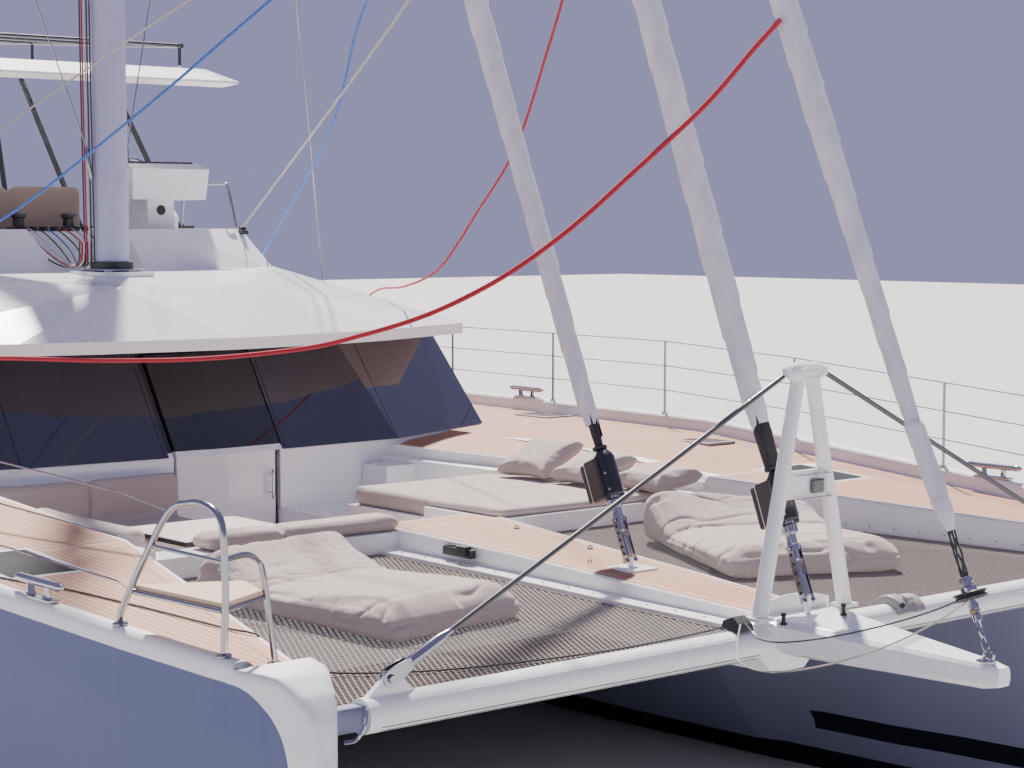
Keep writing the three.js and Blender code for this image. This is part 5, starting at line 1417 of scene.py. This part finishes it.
pulpit.tube(straight((9.035, 4.108, 2.87), (9.6, 4.04, 2.85)), 0.011, 12)
for foot in (aft, fore, inner):
    pulpit.lathe(foot, UP, [(0.0005, 0.04), (0.006, 0.042), (0.012, 0.036), (0.016, 0.024)])
both_sides("pulpit_tubes", pulpit, STEEL, slot="steel", replaced="pulpit")
seat = [(8.862, 4.115), (9.578, 4.03), (9.395, 3.677), (9.105, 3.596)]
planes = ((2.616, 0.01), (2.65, 0.012))  # height and slope of the seat's underside and top
cream = Shape().rings([[(x, y, z - slope * (x - 8.9)) for x, y in seat] for z, slope in planes])
both_sides("pulpit_seat", cream, PAINT["cream"], bevel=0.008, segments=3)
wire_ends = Shape()
fast = Vector((8.728, outer_deck(8.728) - 0.06, deck_z(8.698) + BULWARK))
for height, end in zip(GUARD_WIRES, ((8.855, 4.135, 2.62), (9.035, 4.11, 2.872), (9.16, 4.08, 3.056))):
    wire_ends.tube(straight(fast + Vector((0, 0, height)), end), 0.0025, 8)
both_sides("guard_wire_ends", wire_ends, STEEL, slot="steel")

# Forward cockpit: the door's grip and the table's rim
grip_line = [(3.296, 0.42, 2.15), (3.315, 0.42, 2.17), (3.315, 0.42, 2.38), (3.296, 0.42, 2.4)]
rounded_bar(Shape(), grip_line, 0.01).piece("front_door_grip", CHROME, "front_door", "steel")
table_rim = []
for x, y in ((4.348, -1.662), (5.312, -1.662), (5.312, -0.628), (4.348, -0.628)):
    in_x, in_y = x * 0.98 + 4.83 * 0.02, y * 0.98 - 1.145 * 0.02
    table_rim.append([(x, y, 2.172), (x, y, 2.208), (in_x, in_y, 2.208), (in_x, in_y, 2.172)])
Shape().rings(table_rim, closed=True).piece("table_rim", TRIM, slot="black", bevel=0.004)


# Windows: dark joints between the panes
def on_front(y, z):
    """A point on the slanted front of the deckhouse."""
    found = []
    for angle, distance, lean in FRONT_WALLS:
        a = math.radians(angle)
        found.append((distance - lean * (z - 2.56) - abs(y) * math.sin(a)) / math.cos(a))
    return Vector((min(found) + 0.006, y, z))


joints = Shape()
for low_y, high_y in ((1.86, 1.83), (0.6, 0.6), (-0.6, -0.6), (-1.86, -1.83)):
    middle = on_front((low_y + high_y) / 2, 3.0)
    joints.tube([on_front(low_y, 2.57), middle, on_front(high_y, 3.42)], 0.012, 8)
joints.piece("window_joints", TRIM, slot="black")

# Mast foot, winches and jammers
collar = Shape()
for low, high, grow in ((4.066, 4.082, 0.09), (4.082, 4.16, 0.022)):
    ring = []
    for t in turns(32):
        across, along = [math.copysign(abs(v) ** 0.8, v) for v in (math.sin(t), math.cos(t))]
        ring.append((MAST_X + (0.21 + grow) * along, (0.14 + grow) * across))
    collar.rings([[(x, y, z) for x, y in ring] for z in (low, high)])
collar.piece("mast_collar", TRIM, slot="black", bevel=0.004)
table = Shape().box((-0.6, -0.26, 3.952), (-0.24, 0.78, 4.43))
table.piece("winch_table", WHITE, bevel=0.02, segments=3)
winches = Shape()
for y in (-0.02, 0.52):
    winches.lathe((-0.44, y, 4.428), UP, WINCH, 32)
winches.piece("halyard_winches", BLACK, slot="black", bevel=0.002)
jammers = Shape()
for y in [-0.16 + 0.115 * k for k in range(8)]:
    jammers.box((-0.38, y - 0.02, 4.43), (-0.26, y + 0.02, 4.475))
jammers.piece("rope_jammers", TRIM, slot="black", bevel=0.006)


# Lines
def rope(name, points, radius, colour):
    """A line held tight between its ends."""
    Shape().tube(curved(points, 0.06), radius, 8).piece(name, ROPE[colour], slot="sailcloth")


LED_LINES = ("black", "red", "white", "black", "blue", "black", "red", "beige", "black", "white")
for k, colour in enumerate(LED_LINES):
    y0, y1 = -0.19 + 0.012 * k, -0.17 + 0.093 * k
    x0 = 1.06 + 0.02 * (k % 3)
    rope(f"led_line_{k + 1}", [
        (x0 + 0.05, y0 - 0.01, 4.34), (x0 + 0.02, y0, 4.17), (x0 - 0.1, y0, 4.1 + 0.006 * (k % 4)),
        (0.62, (y0 + y1) / 2, 4.13 + 0.012 * (k % 3)), (0.15, y1, 4.27), (-0.12, y1, 4.4),
        (-0.3, y1, 4.455),
    ], 0.0075, colour)
for k, colour in enumerate(("black", "red", "white", "black", "black")):
    x0, y0 = 1.14 + 0.045 * k, -0.163 - 0.004 * (k % 2)
    top = 10.5 + 0.5 * k
    x1, x2 = [mast_x(z) - MAST_X + x0 for z in (7.0, top)]
    rope(f"halyard_{k + 1}", [(x0, y0, 4.15), (x1, y0 - 0.01, 7.0), (x2, y0 + 0.02, top)], 0.0075, colour)
rope("staysail_sheet_starboard", [
    (6.2, -0.08, 7.1), (4.49, -0.35, 6.23), (2.75, -0.66, 5.32), (1.04, -0.95, 4.53), (0.3, -1.1, 4.47),
], 0.012, "blue")
rope("staysail_sheet_port", [
    (6.2, 0.1, 7.0), (4.06, 0.9, 6.35), (2.38, 1.7, 5.36), (-0.4, 2.83, 4.25), (-0.62, 2.9, 4.07),
], 0.012, "blue")
rope("genoa_lead_port", [(6.28, 0.08, 6.85), (4.9, 0.7, 6.28), (-0.47, 2.58, 4.47)], 0.01, "beige")
rope("genoa_lead_starboard", [
    (6.16, -0.08, 7.1), (3.3, -0.35, 6.33), (0.37, -0.6, 5.38), (-0.12, -1.04, 5.1)], 0.009, "beige")


def hanging(name, points, radius, colour):
    """A slack line along the given points."""
    line = curved(points, 0.05)
    length = sum((b - a).length for a, b in zip(line, line[1:]))
    piece = Shape().tube(line, radius, 10).piece(name, ROPE[colour], slot="sailcloth")
    tuple(line[0])
    [tuple(p) for p in line]


hanging("code_zero_sheet_starboard", [
    (9.62, -0.11, 5.72), (9.46, -0.16, 5.56), (9.2, -0.32, 5.22), (8.86, -0.62, 4.8), (8.58, -0.9, 4.45),
    (8.3, -1.2, 4.16), (7.92, -1.45, 3.94), (7.5, -1.7, 3.79), (7.14, -1.9, 3.7), (6.5, -2.24, 3.62),
    (5.75, -2.58, 3.585), (4.94, -2.92, 3.575), (4.1, -3.24, 3.51), (3.1, -3.58, 3.38), (2.0, -3.92, 3.2),
    (0.6, -4.3, 2.95), (-0.9, -4.62, 2.7)], 0.016, "red")
hanging("code_zero_sheet_port", [
    (8.3, 0.09, 9.0), (7.9, 0.12, 8.6), (7.5, 0.2, 8.15), (7.0, 0.55, 7.1), (6.59, 0.9, 6.42),
    (6.0, 1.15, 5.72), (5.36, 1.4, 5.09), (4.6, 1.65, 4.62), (3.63, 2.0, 4.12), (2.6, 2.4, 3.92),
    (1.4, 2.95, 3.84), (0.5, 3.35, 3.6), (-0.6, 3.9, 3.2), (-1.6, 4.35, 2.85), (-2.0, 4.55, 2.7),
], 0.011, "red")
hanging("furling_line_1", [
    (11.02, -0.05, 2.41), (10.9, -0.22, 2.33), (10.7, -0.42, 2.24), (10.45, -0.6, 2.16), (10.2, -0.7, 2.11),
    (9.98, -0.66, 2.1), (9.88, -0.6, 2.125), (9.8, -0.57, 2.15)], 0.005, "black")
hanging("furling_line_2", [
    (11.06, -0.085, 2.4), (10.98, -0.3, 2.28), (10.82, -0.56, 2.15), (10.6, -0.8, 2.05),
    (10.35, -0.95, 2.0), (10.1, -0.92, 2.01), (9.93, -0.76, 2.07), (9.8, -0.6, 2.14)], 0.005, "beige")
hanging("furling_line_aft", [
    (9.69, -0.6, 2.115), (9.61, -0.9, 2.078), (9.56, -1.4, 2.06), (9.5, -1.9, 2.06), (9.4, -2.4, 2.062),
    (9.24, -2.8, 2.068), (9.06, -3.1, 2.085), (8.96, -3.26, 2.14), (8.92, -3.33, 2.23), (8.88, -3.39, 2.302),
    (8.7, -3.45, 2.312), (8.35, -3.52, 2.332), (8.0, -3.59, 2.352), (7.4, -3.74, 2.388), (6.9, -3.93, 2.418),
    (6.3, -4.0, 2.454), (5.8, -4.0, 2.482), (5.6, -4.0, 2.5)], 0.006, "black")

# Blocks where the sheets end
blocks = Shape()
for x, y, z in ((0.28, -1.1, 4.45), (-0.47, 2.57, 4.4), (-0.62, 2.9, 4.05)):
    blocks.box((x - 0.06, y - 0.04, z - 0.01), (x + 0.06, y + 0.04, z + 0.035))
    blocks.lathe((x, y - 0.032, z + 0.045), PORT, [(0, 0.03), (0.064, 0.03)], 18)
blocks.box((5.44, -4.04, 2.484), (5.6, -3.96, 2.53))
for side, x in ((-1, -0.95), (1, -2.05)):
    blocks.lathe((x, side * (outer_deck(x) - 0.4), deck_z(x) + 0.002), UP, DECK_BLOCK)
blocks.piece("sheet_blocks", BLACK, slot="black", bevel=0.006)

# Helm: dial, screen, guard rail and seat on each side
dial = Shape().lathe((-0.2785, 1.475, 4.64), AHEAD, [(0, 0.05), (0.012, 0.05), (0.014, 0.04)], 28)
both_sides("helm_dial", dial, TRIM, slot="black", bevel=0.002)
screens = Shape().box((-0.7, 1.08, 5.11), (-0.3, 1.87, 5.128))
both_sides("helm_screens", screens, TRIM, slot="black", bevel=0.006)
rail = rounded_bar(Shape(), [
    (-1.55, 2.5, 4.46), (-1.52, 2.5, 4.82), (-1.42, 2.5, 4.915), (-1.1, 2.5, 4.925), (-0.75, 2.5, 4.925),
    (-0.62, 2.49, 4.87), (-0.43, 2.47, 4.45)], 0.016)
both_sides("flybridge_rail", rail, STEEL, slot="steel")
both_sides("helm_seat", Shape().lathe((-1.3, 2.1, 3.955), UP, SEAT_POD, 26), WHITE, bevel=0.006)

# Diamond stays from the mast foot to the first spreaders
line = [(1.3, 0.17, 4.9), (1.28, 0.21, 5.2), (0.85, 0.95, 7.8), (mast_x(12.0) - 1.45, 2.15, 12.0)]
diamond = Shape().tube(line, 0.006, 8)
way = Vector(line[1]) - Vector(line[0])
diamond.lathe(line[0], way, [(0, 0.014), (0.02, 0.018), (0.26, 0.018), (0.3, 0.008)], 12)
both_sides("diamond_stay", diamond, STEEL, slot="steel")

# Floor at the waterline, and light
FLOOR = 120  # half of its side
ground = bpy.data.meshes.new("floor")
ground.from_pydata([(FLOOR * a, FLOOR * b, 0) for a, b in QUARTERS[2:] + QUARTERS[:2]], [], [(0, 1, 2, 3)])
floor = linked("floor", ground)
ground.materials.append(floor_look())

world = bpy.data.worlds.new("studio")
scene.world = world
world.use_nodes = True
sky = world.node_tree.nodes["Background"]
sky.inputs["Color"].default_value = (0.6, 0.6, 1.0, 1)
sky.inputs["Strength"].default_value = 0.5
sun = bpy.data.lights.new("sun", "SUN")
sun.energy = 12.5
sun.angle = math.radians(2.5)
sun.color = (1.0, 0.93, 0.85)
sunlight = linked("sun", sun)
sunlight.rotation_mode = "QUATERNION"
sunlight.rotation_quaternion = Vector((0.62, -0.38, -1.0)).to_track_quat("-Z", "Y")
